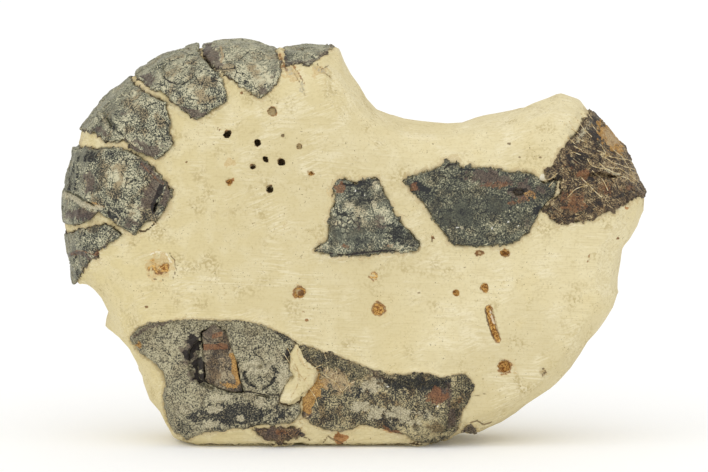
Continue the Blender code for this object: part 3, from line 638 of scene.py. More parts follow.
slateLook = {
    "rimShare": 0.65, "stain": 0.8, "wornShare": 0.6, "speckSize": 0.23, "patchSize": 2.8,
    "contrast": 1.75, "patchShare": 0.9, "tone": 0.575, "dusting": 0.12, "roughness": 0.46,
    "bump": 0.2, "hairlines": 0.3, "fibres": 0.0,
    **paints(deep=(27, 28, 27), middle=(97, 97, 80), pale=(160, 158, 130), bright=(208, 201, 168),
             rim=(74, 60, 54), umber=(188, 168, 148), worn=(124, 122, 100))}

# The stone. What shows in a piece is listed by its kind, at the seen x and z. A hole has a radius
# and a depth, and True if only its edge is stained. A blob has a half width, a half height and a
# strength, and some have a tilt in degrees. A line has a width, a strength and its points.

stone = {
    "voxel": 0.3, "faces": 188000, "markedTo": -5.0,
    "lumpSize": 5.0, "lumpDepth": 0.22, "flakeSize": 7.0, "flakeDepth": 0.0,
    "grainSize": 0.9, "grainDepth": 0.05, "strokeLength": 7.0, "strokeWidth": 0.8,
    "strokeDepth": 0.07, "strokeTilt": -0.2, "patternSeed": 1,
    "backWear": 3.4,                    # how much rougher the unprepared back is
    "swells": [(30.5, 8.0, 12.0, 0.9), (24.0, 4.0, 5.0, 0.4), (43.5, 23.0, 9.0, 0.3),
               (37.0, 61.5, 6.0, 0.45), (20.0, 58.0, 17.0, 0.35), (-32.0, 4.0, 7.0, 0.35),
               (-1.5, 69.0, 4.0, 0.3), (-40.0, 14.0, 8.0, 0.2)],
    "seamNear": 0.25, "seamReach": 0.5, # how far the painted shade and dirt lie beside the shell
    "fillet": 0.4, "filletReach": 1.1,  # stone left standing against the shell
    "holes": {
        "black": [(-21.8, 54.9, 0.6, 0.7), (-16.7, 53.5, 0.48, 0.7), (-17.5, 49.1, 0.42, 0.7),
            (-15.4, 50.5, 0.42, 0.8), (-12.5, 50.1, 0.5, 0.7), (-14.6, 45.3, 0.5, 0.8)],
        "dark": [(-14.1, 58.8, 0.75, 0.5, True), (-9.4, 52.6, 0.45, 0.5, True), (-12.2, 54.6, 0.28, 0.3),
            (33, 13.2, 0.6, 0.35, True)],
        "amber": [(-21.6, 46.5, 0.6, 0.4), (-7.3, 48, 0.5, 0.4), (-9.4, 27.3, 1, 0.45, True),
            (4.3, 24.3, 1.1, 0.35), (3.4, 30.1, 0.75, 0.25, True), (17.8, 27.1, 0.5, 0.4),
            (22.8, 28, 0.65, 0.4), (26.3, 34.1, 0.7, 0.45), (26.3, 14.2, 1.2, 0.5),
            (-32.9, 31.6, 0.75, 0.3)],
        "brown": [(21.8, 34.1, 0.55, 0.25, True), (-36, 24.7, 0.25, 0.2), (-19.3, 62.1, 0.25, 0.2),
            (-17.9, 61.8, 0.22, 0.2), (-8.7, 23.8, 0.22, 0.2), (-8.1, 22.4, 0.25, 0.2),
            (13.7, 36.8, 0.22, 0.2), (46, 36.8, 0.25, 0.2), (-29, 50, 0.22, 0.2)]},
    "burrow": ("amber", 0.8, [(23.5, 24.4), (24.1, 21.5), (25.1, 19.0)]),
    "blobs": {
        "brown": [(26.6, 14, 0.8, 0.6, 0.7, 20), (4.5, 24.1, 0.6, 0.5, 0.7), (-9.2, 27.1, 0.5, 0.6, 0.8),
            (-2.6, 2.2, 1.1, 0.5, 0.6, 20), (-33.8, 30.7, 0.7, 0.5, 0.8), (-34.9, 31.2, 1, 0.8, 0.6, 20)],
        "dark": [(15.1, 30.9, 0.35, 0.2, 0.8, 10), (14.3, 28.9, 0.2, 0.15, 0.8),
            (16.5, 29.2, 0.25, 0.15, 0.8, -40), (11.4, 27.2, 0.3, 0.15, 0.7),
            (13.9, 26.9, 0.25, 0.15, 0.7), (10.2, 16.4, 0.2, 0.2, 0.7), (28.8, 50.8, 0.35, 0.25, 0.7, 60),
            (32.3, 50.8, 0.3, 0.25, 0.7, -40), (27.1, 53.2, 0.25, 0.2, 0.7), (-34.4, 29.6, 0.3, 0.2, 0.7),
            (-33.2, 29.4, 0.2, 0.3, 0.7), (-35.6, 30.2, 0.2, 0.2, 0.7)],
        "rust": [(-2.2, 1.6, 1.2, 1, 1.4, 20), (6, 3.1, 2.1, 0.4, 0.6, 18), (47.5, 42, 0.5, 0.3, 0.8),
            (21.8, 34.1, 1, 0.9, 0.3), (-21.3, 46.7, 0.5, 0.7, 0.9)],
        "tan": [(2.2, 3.5, 2.8, 0.5, 0.5, 8), (-13.4, 68.8, 1.2, 1.4, 0.9),
            (-10.8, 65.6, 1.8, 1.6, 0.8, 30), (-5.9, 66, 1.4, 1.2, 0.8), (-4.6, 64.2, 0.9, 1.2, 0.4),
            (-33.9, 31.7, 2.3, 2.2, 1.2), (-36.5, 36.9, 2.1, 0.9, 0.35, 20),
            (-33.5, 50.6, 1.4, 1, 0.35, 40), (-9.4, 27.1, 1.6, 1.6, 0.45), (4.3, 24.3, 1.8, 1.6, 0.5),
            (26.5, 14.2, 1.9, 1.8, 0.5), (-21.4, 50, 1, 0.9, 0.8), (-4.1, 44.6, 0.9, 1, 0.5),
            (40.3, 56, 1.8, 2.4, 0.3, 30), (-16.7, 62.5, 1.8, 1, 0.4, 20), (-26.9, 56.5, 1.4, 0.9, 0.3),
            (-22.3, 56.3, 1, 0.7, 0.3), (33.9, 40.1, 1, 0.7, 0.5), (13.4, 42.3, 0.5, 1.4, 0.35)],
        "amber": [(-13.6, 67.7, 0.7, 1, 0.6), (-34.5, 31.8, 1.4, 1.3, 0.55, 20)],
        "dust": [(-11.2, 66, 1.3, 0.9, 0.5, 30), (-5.6, 65.9, 1.1, 0.8, 0.5, 30),
            (-8.9, 63.3, 0.5, 1.4, 0.5)],
        "cream": [(33, 47.3, 1.2, 0.6, 1, -20)]},
    "lines": {
        # the first black line runs along the foot: a painted contact shadow where the stone meets the floor
        "black": [(0.3, 1, (-29.6, 0.5), (-20, 0.35), (-12, 0.5), (-4, 0.35), (5, 0.4), (12, 0.6)),
            (0.2, 1, (-33.9, 40.2), (-34.4, 39.4), (-35.3, 38.5), (-36.1, 38), (-37.4, 37.8)),
            (0.3, 0.9, (-2.5, 70.3), (-3.6, 69.6), (-5, 69.1)),
            (0.2, 0.8, (-11.1, 17.3), (-10.1, 18.7), (-9.2, 17.7)),
            (0.2, 0.9, (-12.9, 7.9), (-11.1, 7.3), (-9.4, 8), (-8.7, 9.6))],
        "brown": [(0.2, 0.7, (-23.6, 55.9), (-23.2, 55.5)),
            (0.25, 0.6, (21.8, 3.2), (23, 3.6), (24.6, 3.4)), (0.2, 0.7, (40.7, 32.6), (41, 33.9)),
            (0.5, 0.7, (-13.3, 69.6), (-12.4, 67.6), (-11.6, 66)),
            (0.4, 0.6, (-11.6, 69.3), (-10.9, 67.6), (-9.6, 65.6), (-8.6, 63.8)),
            (0.4, 0.5, (-14, 67.5), (-12.6, 66.6), (-10.5, 66.9))],
        # the first two dark lines follow small notches in the foot: painted shadow under them
        "dark": [(0.2, 0.8, (-5.2, 0.9), (-4.4, 2), (-3.3, 1.4), (-1.9, 0.7)),
            (0.2, 0.8, (-13.5, 0.8), (-11.6, 1.6), (-10.2, 1.5), (-9, 2.2), (-7.6, 1.2)),
            (0.4, 0.45, (-6.9, 67), (-5.8, 65.8), (-4.6, 65.6), (-3.6, 64.4)),
            (0.2, 0.7, (-31.9, 34.1), (-31, 32.6), (-30.9, 31), (-31.5, 29.4)),
            (0.35, 0.5, (-10.6, 66.1), (-9.9, 64.9), (-9.2, 63.5), (-8.3, 61.6)),
            (0.2, 0.5, (19.7, 8.8), (21.4, 9.1), (23.2, 9.6)),
            (0.2, 0.9, (18.8, 6.1), (19.3, 7.5), (18.6, 8.4)),
            (0.2, 0.9, (20.4, 4.4), (21.6, 4.7), (22.8, 4), (24.2, 4.4)),
            (0.2, 0.7, (-12.2, 54.8), (-11.8, 54.2)), (0.2, 0.7, (-15.5, 50.8), (-15, 49.9)),
            (0.2, 0.8, (-3.9, 43.8), (-3.2, 45), (-2.9, 45.7)), (0.2, 0.9, (13.6, 36.2), (13.8, 36.9)),
            (0.2, 0.7, (-6.2, 67.2), (-5.5, 66.3), (-4.3, 67))],
        "cream": [(0.3, 0.9, (23.9, 24), (24.1, 22.9), (24.5, 21.8)),
            (0.4, 0.5, (-35.4, 33.8), (-34, 34.4), (-32.4, 33.8), (-31.7, 32.4))],
        "tan": [(0.3, 0.8, (-10.1, 17.8), (-8.8, 15), (-7.8, 14.2))]},
}


def makeStone():
    coarse = fineCopy("stone_matrix", stone["voxel"])
    work = newObject("work", coarse)
    back = work.vertex_groups.new(name="back")
    hidden = np.nonzero(normals(coarse)[:, 1] > -0.2)[0]
    back.add([int(number) for number in hidden], 1.0, "REPLACE")
    thin = work.modifiers.new("thin", "DECIMATE")
    thin.vertex_group = "back"
    thin.ratio = stone["faces"] / (2 * len(coarse.polygons))
    return finishedMesh(work)


def swell(mesh, swells):
    # brings an outline out where the copy came short of it
    place = points(mesh)
    facing = normals(mesh)
    facing[:, 1] = 0.0
    across, up = seenPlaces(place)
    for centreX, centreZ, radius, rise in swells:
        away = np.hypot(across - centreX, up - centreZ) / radius
        place += facing * (rise * (1.0 - smoothStep(away, 0.2, 1.0)))[:, None]
    movePoints(mesh, place)


# The shell pieces: what a user would change is beside each one's name

slate = {
    "markedTo": 4.0,                    # marks are kept in front of this depth
    "voxel": 0.23, "lumpSize": 2.6, "lumpDepth": 0.2, "flakeSize": 2.2, "flakeDepth": 0.2,
    "grainSize": 0.6, "grainDepth": 0.14, "strokeLength": 4.0, "strokeWidth": 0.7,
    "strokeDepth": 0.04, "strokeTilt": 0.3, "slot": "slate_shell",
    "chips": 0.55,                      # how far broken edges step in and out
}

shells = {}


def frameName(name):
    # clawPalm is claw_palm in the frame
    return re.sub("([A-Z0-9])", r"_\1", name).lower()


shells["abdomenSegment1"] = {
    "patternSeed": 11, "look": {"tone": 0.565},
    "blobs": {
        "rust": [(-44.4, 34.1, 1, 0.5, 0.7), (-48.9, 33.9, 1, 0.3, 0.5), (-45.8, 32.4, 1, 1, 0.35, 30)],
        "dust": [(-45.1, 36.2, 2.1, 0.9, 0.5, -10)],
        "dark": [(-48.6, 35, 0.7, 0.9, 0.6), (-48.2, 30.6, 0.7, 1.4, 0.6, 20)]},
    "lines": {
        "brown": [(0.7, 0.8, (-49.8, 33.7), (-47.9, 34.3), (-46.4, 33.6), (-45.4, 32.6))],
        "rust": [(0.3, 0.6, (-48.4, 34.6), (-46.8, 34.4), (-45.4, 33.9), (-44.2, 33.9))],
        "cream": [(0.3, 0.7, (-44.2, 34.5), (-43, 35.2), (-41.6, 35.9), (-40.3, 36.9))]},
}

shells["abdomenSegment2"] = {
    "patternSeed": 12, "swells": [(-49.5, 46.0, 9.0, 0.2)], "look": {"tone": 0.565},
    "blobs": {
        "dust": [(-40.9, 47.4, 2.4, 3, 0.8), (-38.2, 41.8, 1.4, 0.9, 0.7, 20),
            (-43.7, 48.8, 1.8, 1.4, 0.4), (-49.6, 41.8, 0.9, 0.9, 0.35)],
        "dark": [(-46.6, 51.1, 3, 1.4, 0.8), (-49.2, 47.4, 1.4, 2.8, 0.8), (-47.2, 40.6, 2.1, 0.7, 0.7),
            (-41.6, 40.8, 1.2, 1, 0.8)],
        "brown": [(-45.8, 46.5, 1.2, 1.8, 0.75), (-35.1, 44.6, 1.4, 3.4, 0.8, 20),
            (-32.5, 44.2, 0.7, 2.2, 0.8, 15), (-36.1, 48.8, 1.6, 0.7, 0.7, 40),
            (-47.5, 40.9, 3, 1, 0.9, -5), (-38.9, 39.4, 1.6, 1, 0.5)],
        "black": [(-33.7, 44.7, 0.55, 1.4, 1.3, 22), (-34.6, 42.4, 0.5, 1.5, 1.2, 10)],
        "amber": [(-44.9, 42.5, 0.8, 0.4, 0.9)]},
    "lines": {
        "cream": [(0.9, 0.75, (-50.3, 44.3), (-48.6, 43.6), (-47.2, 42.7), (-44.9, 42.2), (-43.7, 42)),
            (0.2, 0.9, (-42.3, 41.6), (-41.2, 41.1), (-40.5, 40.2), (-41, 39.2))],
        "amber": [(0.5, 0.6, (-46.5, 42.9), (-44.7, 42.3), (-43.3, 42.2))],
        "brown": [(0.4, 0.9, (-36.6, 50), (-35.2, 48.9), (-34, 47.3), (-32.8, 46.4))],
        "rust": [(0.3, 0.7, (-36.8, 49.7), (-35.6, 48.5), (-34.4, 47.1), (-33, 46.2))],
        "black": [(0.3, 0.9, (-42.6, 41.3), (-42.4, 40.2), (-41.2, 39.2))]},
}

shells["abdomenSegment3"] = {
    "patternSeed": 13, "swells": [(-43.5, 62.0, 9.0, 0.35)], "look": {"tone": 0.595},
    "blobs": {
        "dust": [(-37.2, 60.9, 2.4, 1.2, 0.6, 20), (-40.7, 61.9, 2.3, 1.4, 0.4, 45),
            (-36, 55.8, 2.4, 1.8, 0.3), (-38.6, 58.6, 1.6, 1.2, 0.25)],
        "brown": [(-35.6, 52.3, 2.8, 0.9, 0.7, 25), (-44.2, 55.6, 1.6, 0.7, 0.7, 30),
            (-32.5, 53.5, 1, 1.4, 0.4), (-39.8, 58.6, 1, 0.9, 0.4)],
        "dark": [(-41.7, 56.2, 0.7, 1.4, 0.8, -30), (-44.4, 59, 1.2, 0.9, 0.4, 45)]},
    "lines": {
        "dust": [(0.4, 0.9, (-44.9, 59.3), (-43.8, 57.9), (-42.8, 56.3), (-41.9, 54.9))],
        "dark": [(0.3, 0.9, (-42.1, 57.6), (-41.4, 55.8), (-40, 54.6))],
        "brown": [(0.4, 0.9, (-39.6, 54.1), (-38.9, 52.8), (-36.8, 52), (-34.7, 51.1))]},
}

shells["abdomenSegment4"] = {
    "patternSeed": 14, "swells": [(-32.5, 69.5, 9.0, 0.4)], "look": {"tone": 0.63},
    "blobs": {
        "dust": [(-30.7, 66, 2.6, 1.8, 0.75, 10), (-27.2, 62.3, 2.3, 1.8, 0.75),
            (-35.3, 66.7, 1.6, 0.7, 0.5, -40)],
        "brown": [(-35.6, 64.4, 1.4, 1.4, 0.7), (-27.7, 58.6, 2.3, 0.7, 0.8, 15)],
        "dark": [(-24.1, 64.9, 0.9, 0.9, 0.85), (-28.6, 60, 1.4, 0.7, 0.4, 30),
            (-36.3, 64.9, 0.5, 1, 0.6, 20)]},
    "lines": {
        "dark": [(0.2, 0.8, (-30.4, 68.3), (-32.2, 67.6), (-33.1, 66.3), (-33.1, 64.9)),
            (0.2, 0.7, (-29.8, 63.5), (-28.6, 64.2), (-27.2, 65.1)),
            (0.2, 0.8, (-29.8, 69.5), (-28.6, 68.8), (-27, 68.6)),
            (0.2, 0.7, (-26.3, 63.5), (-25.5, 65.1), (-24.4, 65.6))],
        "black": [(0.3, 0.8, (-33.1, 64.9), (-31.9, 64), (-29.8, 63.5))],
        "dust": [(0.3, 0.8, (-34.4, 67.4), (-33.9, 65.8), (-33.3, 64.2))],
        "brown": [(0.4, 0.8, (-31.4, 60.5), (-29.3, 59.3), (-27.4, 57.7))]},
}

shells["abdomenSegment5"] = {
    "patternSeed": 15, "swells": [(-20.5, 71.5, 9.0, 0.35)], "slot": "brown_shell",
    "look": {"tone": 0.69, "contrast": 1.6},
    "blobs": {
        "brown": [(-24.9, 68.4, 1.8, 2.4, 0.9, -20), (-13.9, 66.3, 0.7, 2.4, 0.45),
            (-15.7, 62.3, 1, 0.7, 0.6)],
        "dark": [(-25.6, 69.5, 0.9, 1.4, 0.6), (-18.8, 63.7, 2.1, 0.7, 0.6, 35)],
        "dust": [(-17.1, 65.5, 2.6, 1.9, 0.9, 15), (-18.1, 70.3, 2.8, 0.5, 0.3)]},
    "lines": {
        "tan": [(0.4, 0.8, (-23.2, 70.2), (-22.7, 68.6), (-23, 67.4))],
        "dark": [(0.3, 0.8, (-22, 67.7), (-19.9, 67.7), (-18.1, 69.5), (-16, 69.8))],
        "brown": [(0.3, 0.7, (-22.3, 65.5), (-19.9, 63.3), (-16.7, 61.6))]},
}

shells["abdomenSegment6"] = {
    "patternSeed": 16, "chips": 0.3, "look": {"tone": 0.64, "contrast": 1.5},
    "blobs": {
        "dark": [(-11.5, 68.4, 1.2, 1, 0.7)],
        "dust": [(-8.3, 69.1, 2.1, 0.9, 0.4)],
        "brown": [(-4.1, 69.8, 1.4, 0.3, 0.4, -15)]},
    "lines": {
        "dark": [(0.3, 0.8, (-9, 69.8), (-8, 68.8), (-6.6, 68.2))]},
}

shells["clawArm"] = {
    "patternSeed": 17, "flakeDepth": 0.08,
    "look": {"tone": 0.57, "contrast": 1.2, "stain": 0.5, "roughness": 0.45, "hairlines": 0.1,
        "crackle": 0.9, "rimShare": 0.25, **paints(middle=(94, 96, 80), pale=(138, 138, 115))},
    "blobs": {
        "rust": [(-2.4, 45.5, 1, 0.9, 0.85), (-1.3, 35.3, 1.2, 0.5, 0.6), (6.4, 35.3, 1.6, 0.5, 0.4)],
        "dark": [(2.2, 46.4, 2.3, 0.7, 0.8, -8), (8.1, 37.3, 2.6, 1.8, 0.7, 40),
            (-1.5, 41.1, 2.1, 0.5, 0.5), (1.2, 43.4, 3.4, 1.6, 0.5)],
        "cream": [(-0.8, 42.5, 0.8, 0.5, 1.2, 15), (3.6, 42.5, 0.5, 0.8, 1.2)],
        "dust": [(3.1, 45.5, 1, 0.5, 0.4), (-3, 39.4, 1.3, 2, 0.5), (-1, 39, 0.7, 1.6, 0.45),
            (2.2, 39, 0.5, 1.6, 0.4)],
        "smooth": [(-1.2, 38.6, 3.4, 3, 1)],
        "white": [(0.3, 45, 0.2, 0.2, 0.8), (2, 44.2, 0.2, 0.15, 0.8)],
        "brown": [(0.6, 39.2, 0.9, 1.6, 0.4), (4.5, 39.7, 1.4, 1.6, 0.5)]},
    "lines": {
        "dark": [(0.4, 1, (-2.2, 46.2), (-0.8, 46), (1.8, 46.4), (4.5, 47.1))],
        "black": [(0.2, 0.8, (-3.9, 40.6), (-4.3, 38.7), (-4.5, 36.6)),
            (0.3, 0.9, (-7.3, 34.6), (-5, 34.1), (-1.5, 33.8), (2.9, 34.3), (7.3, 34.6))]},
}

shells["clawPalm"] = {
    "patternSeed": 18, "flakeDepth": 0.06,
    "look": {"tone": 0.485, "contrast": 1.25, "stain": 0.5, "roughness": 0.42, "hairlines": 0.1,
        "patchShare": 0.5, "crackle": 0.75, "rimShare": 0.2, **paints(deep=(22, 24, 25), middle=(86, 88, 71),
        pale=(134, 132, 105))},
    "blobs": {
        "smooth": [(17.2, 41.1, 4.2, 3, 1), (23.9, 42.7, 4.5, 1.9, 0.8)],
        "brown": [(23.4, 47.2, 4.5, 1.2, 0.9, 5), (29.4, 45, 2.8, 1.7, 0.8, -10),
            (32.1, 45.3, 1.2, 1.2, 0.6), (30.4, 39.2, 0.9, 1.6, 0.4), (17.8, 49.3, 1.4, 0.7, 0.4)],
        "rust": [(24.8, 46, 2.4, 0.9, 0.6), (29.1, 43.4, 2.4, 0.7, 0.5, -20),
            (10.4, 45.7, 0.9, 0.9, 0.7, 30)],
        "amber": [(30.5, 44.3, 1.2, 1, 0.45)],
        "black": [(27.8, 45.4, 1, 0.35, 1, -15), (29.6, 45.2, 0.5, 0.4, 0.9)],
        "dust": [(25.6, 38.8, 2.8, 1.2, 0.5), (12.5, 47.2, 2.4, 0.9, 0.2, -20),
            (30.7, 41.5, 0.3, 0.3, 1.2), (20.4, 46.2, 2.4, 1, 0.3)],
        "white": [(26.8, 39.6, 0.3, 0.2, 0.8), (24.1, 38.4, 0.2, 0.3, 0.8), (18.1, 38.6, 0.25, 0.2, 0.8),
            (28.6, 38.9, 0.2, 0.2, 0.8)],
        "dark": [(12, 45.6, 2.6, 0.8, 0.6, 30), (31.8, 41.3, 0.9, 0.9, 0.8)],
        "cream": [(18.8, 38.5, 0.3, 0.3, 1.1)]},
    "lines": {
        "black": [(0.3, 0.8, (15.7, 48.8), (16.5, 49.5), (17.9, 49.7))],
        "dark": [(0.3, 0.8, (18.5, 48.8), (21.3, 48.6))]},
}

shells["clawTip"] = {
    "patternSeed": 19, "lumpDepth": 0.3, "lumpSize": 2.2,
    "flakeDepth": 0.22, "flakeSize": 1.8, "grainDepth": 0.12, "strokeLength": 3.5,
    "strokeWidth": 0.4, "strokeDepth": 0.14, "strokeTilt": 0.5, "slot": "rust_shell",
    "swells": [(43.0, 57.5, 5.5, 0.6), (48.0, 51.0, 5.0, 0.2)],
    "look": {"contrast": 1.35, "fibres": 0.55, "fibreTilt": -0.65, "patchSize": 1.6, "tone": 0.5,
        "wornShare": 0.0, "rimShare": 0.4, "roughness": 0.6, **paints(deep=(40, 31, 24), middle=(92, 74, 52),
        pale=(144, 122, 84), bright=(204, 186, 142), rim=(96, 78, 60))},
    "blobs": {
        "amber": [(44.9, 54.4, 1.7, 3.1, 1.3, -38)],
        "tan": [(45, 54.2, 1.2, 2.2, 0.7, -38), (48.4, 47.4, 1.6, 1, 0.6), (44.4, 49, 2.4, 1.8, 0.45),
            (46.5, 46.8, 2.2, 0.6, 0.5, -15)],
        "smooth": [(45, 54.3, 1.8, 3.2, 1, -38), (38.4, 39.4, 2.4, 0.7, 0.9),
            (43.7, 41.1, 3, 0.7, 0.8, -22), (48.4, 43.8, 2.1, 0.5, 0.8, -22)],
        "rust": [(38.2, 43.2, 2.6, 1.8, 0.55), (43.5, 45.3, 1.9, 1.4, 0.5), (39.8, 47.8, 1.5, 1.1, 0.7),
            (37.9, 49.7, 2.1, 1, 0.4), (47.7, 45.5, 1.4, 0.7, 0.5, -15)],
        "dark": [(39, 50.4, 2.3, 1.4, 0.65), (42.2, 54.6, 0.9, 2, 0.7, -20),
            (46.8, 44.3, 2.6, 0.5, 0.6, -22), (42.3, 57.2, 1, 1.4, 0.7, 45), (42.6, 50, 1.4, 1, 0.5),
            (35.4, 46, 0.7, 1.8, 0.9), (34, 42, 0.9, 1, 0.5)],
        "black": [(37.6, 50.6, 0.7, 0.35, 0.8), (41.3, 47, 0.8, 0.3, 0.8, 20)],
        "dust": [(42.6, 51.1, 1.8, 1.2, 0.5)],
        "cream": [(39.6, 54.6, 0.6, 2.6, 0.5, 34)]},
    "lines": {
        "black": [(0.7, 1, (35.6, 47.2), (35.8, 46), (35.6, 44.6))],
        "cream": [(0.2, 1, (43.3, 49), (44.4, 48.3), (46.1, 47.8)),
            (0.2, 0.8, (36.1, 45), (34.6, 43.8), (33.3, 42.7)),
            (0.2, 0.7, (40.5, 58.6), (39.6, 56.9), (38.6, 55.1))]},
}

shells["carapaceRear"] = {
    "patternSeed": 20, "slot": "granular_shell",
    "grainDepth": 0.12, "lumpDepth": 0.16, "chips": 0.14,
    "look": {"tone": 0.64, "contrast": 1.65, "patchShare": 0.3, "rimShare": 0.35, "stain": 0.3,
        "hairlines": 0.12, "roughness": 0.62, **paints(middle=(98, 93, 76), pale=(150, 143, 114),
        bright=(190, 182, 150))},
    "granular": [(-38.0, 18.6), (-36.0, 20.6), (-32.0, 22.0), (-26.0, 22.4), (-20.0, 21.8),
                 (-14.0, 20.3), (-10.0, 18.7)],
    "granularReach": 1.6,
    "blobs": {
        "dark": [(-20.7, 5.8, 8.8, 2.3, 0.8), (-29.5, 3.8, 2.1, 1.6, 0.5, 20),
            (-11.8, 19.6, 2.1, 0.9, 0.7, 25), (-35.6, 20.5, 2.4, 0.7, 0.3)],
        "cream": [(-23, 8.8, 2.3, 0.7, 0.8, -5), (-24.2, 6.8, 1.6, 0.7, 0.8), (-16.4, 8, 1.2, 0.9, 0.9),
            (-24.8, 4.2, 1.6, 0.7, 0.8, -10), (-19.5, 5.4, 0.9, 0.5, 0.9),
            (-29.7, 6.6, 2.1, 1, 0.55, -10), (-16.7, 14.2, 2.6, 1.6, 0.75), (-11.8, 12.6, 1.4, 1.8, 1),
            (-13, 14.9, 1.4, 0.9, 0.5), (-18.8, 16.6, 2.1, 1.4, 0.35)],
        "black": [(-27.6, 18.5, 1.1, 1.5, 1.3, 10), (-26.6, 14.5, 1.1, 1.2, 1.3),
            (-26.4, 12.3, 1.4, 0.8, 1.2, 15), (-28.7, 16.4, 0.8, 1.1, 1.2),
            (-11.6, 16.4, 0.7, 1.2, 1, 10)],
        "amber": [(-37.4, 18.2, 0.7, 0.7, 0.7)],
        "dust": [(-32.1, 14.9, 3.5, 3.8, 0.5), (-18.1, 19.2, 3.8, 1.4, 0.3)],
        "brown": [(-28.4, 16.8, 1.6, 2.6, 0.6, 10), (-27, 12.6, 2, 1.4, 0.55)]},
    "lines": {
        "black": [(0.3, 1, (-25.3, 11.5), (-22, 10.1), (-19.5, 10), (-17.4, 9.8), (-15, 9.4), (-13, 9.3))],
        "dark": [(0.6, 1, (-16.2, 14.2), (-18, 14.3), (-19, 13), (-18.5, 11.4), (-16.9, 10.6)),
            (0.6, 1, (-16.2, 14.2), (-14.4, 14.8), (-13.2, 13), (-14.4, 11.2), (-15.7, 10.3)),
            (0.4, 1, (-16.2, 14.2), (-16, 15.8), (-17.4, 16.8)),
            (0.2, 0.7, (-19.3, 17.7), (-17.8, 17.1), (-16, 17.7))],
        "brown": [(0.3, 0.8, (-38.4, 19.4), (-35.6, 21.2), (-32.1, 21.9))]},
}

shells["carapaceFragment"] = {
    "patternSeed": 21, "slot": "brown_shell",
    "look": {"tone": 0.58, "contrast": 1.1, "roughness": 0.6, **paints(middle=(90, 78, 62),
        pale=(128, 116, 92), bright=(170, 156, 126))},
    "blobs": {
        "brown": [(-25.3, 20.3, 1.8, 1.6, 0.5)],
        "rust": [(-23.7, 19.8, 1.2, 0.5, 0.7, -30)],
        "tan": [(-22.6, 15.2, 1.4, 1.6, 0.4)],
        "dust": [(-22.4, 12.4, 1.8, 1.2, 0.6), (-24.8, 13.8, 1, 1.4, 0.4)],
        "amber": [(-20.4, 13.1, 0.7, 2.4, 0.8, -10), (-21.8, 11, 1.8, 0.7, 0.6, 5)]},
    "lines": {
        "rust": [(1, 1, (-26.5, 17.7), (-24.4, 17.7), (-22.3, 17.8))],
        "amber": [(0.7, 0.8, (-21.3, 16.4), (-20.2, 13.8), (-19.3, 11.4))]},
}

shells["carapaceFront"] = {
    "patternSeed": 22, "slot": "granular_shell",
    "lumpDepth": 0.16, "grainDepth": 0.14, "grainSize": 0.4, "chips": 0.12,
    "look": {"tone": 0.575, "contrast": 1.65, "rimShare": 0.3, "roughness": 0.6, "hairlines": 0.12,
        **paints(middle=(86, 80, 62), pale=(144, 135, 103), bright=(194, 180, 138))},
    "granular": [(-9.0, 17.8), (-4.0, 16.0), (0.0, 13.8), (6.0, 12.9), (12.0, 12.7), (17.0, 12.6),
                 (20.0, 12.0), (18.4, 8.0), (16.6, 3.2)],
    "granularReach": 2.4,
    "blobs": {
        "amber": [(-7.1, 10.7, 1.9, 2.5, 1.3, 20), (-8.3, 7.9, 1.4, 1.8, 1.2), (-6.6, 13.3, 1.4, 1, 0.6)],
        "tan": [(-3, 12, 3.6, 2.2, 0.6, 20), (2.6, 11.4, 1.4, 1.6, 0.5)],
        "brown": [(-8.6, 5.6, 1.2, 1.6, 0.8, 30), (4, 12.2, 1.2, 1.6, 0.5), (15.5, 9.3, 2.2, 1.6, 0.85),
            (17.2, 4.9, 1, 2.8, 0.6), (3.2, 13.5, 1, 0.7, 0.6)],
        "rust": [(-4.1, 12.9, 1.4, 1.4, 0.4), (14.6, 9, 1.8, 1.5, 0.75), (18.6, 8.6, 1, 0.9, 0.4),
            (7.3, 2.8, 1.6, 0.5, 0.8, 25)],
        "cream": [(-4.8, 13.3, 1.4, 1, 0.4), (3.1, 10.8, 2.3, 1.4, 0.6), (1.3, 7.2, 2.6, 1, 0.8),
            (3.8, 5.8, 1.4, 0.9, 0.9), (7.8, 6.1, 3.5, 1.4, 0.7, 5), (12.3, 5.6, 2.4, 1.2, 0.45),
            (9.6, 4.6, 2.4, 0.9, 0.6, 10)],
        "smooth": [(13, 4, 3.5, 1.9, 0.9)],
        "white": [(6, 10.8, 0.25, 0.25, 0.9), (14.6, 7.3, 0.25, 0.25, 0.9)],
        "dust": [(-2.2, 9.3, 0.9, 0.7, 0.9), (12.6, 3.6, 3.8, 2.2, 0.8)],
        "dark": [(1, 9.8, 0.5, 1.2, 0.8, 15), (-4.1, 5.1, 3.1, 1, 0.4), (10.9, 11.4, 6.5, 1.5, 0.85)]},
    "lines": {
        "rust": [(0.4, 0.9, (5.3, 3.8), (7.1, 2.8), (8.5, 1.9))],
        "black": [(0.2, 0.8, (-7.4, 0.9), (-6.6, 1.9))]},
}

shells["carapaceLowerEdge"] = {
    "patternSeed": 23, "chips": 0.35, "slot": "rust_shell",
    "look": {"tone": 0.5, "roughness": 0.62, **paints(middle=(98, 74, 52), pale=(142, 114, 80),
        bright=(184, 158, 116))},
    "blobs": {
        "brown": [(-14.6, 2.3, 2.4, 1.4, 0.7)],
        "rust": [(-12.4, 2.8, 1.6, 0.8, 0.5)]},
}

shells["smallShellFragment"] = {
    "patternSeed": 24, "chips": 0.15,
    "look": {"tone": 0.54, "roughness": 0.6, **paints(middle=(84, 72, 56), pale=(120, 106, 84))},
}

for name, changes in shells.items():
    piece = shells[name] = {**slate, **changes}
    piece["look"] = {**slateLook, **piece["look"], "seed": piece["patternSeed"]}

fit = {
    "gapClosed": 0.42,                  # how far the sides grow to meet the stone
    "near": 0.4, "far": 0.95,           # over which distance from the stone they do
    "rimNear": 0.45, "rimFar": 1.1,     # how far from the stone the rim is coloured
    "dustNear": 0.3, "dustFar": 0.6,    # where stone dust lies on the sides
}

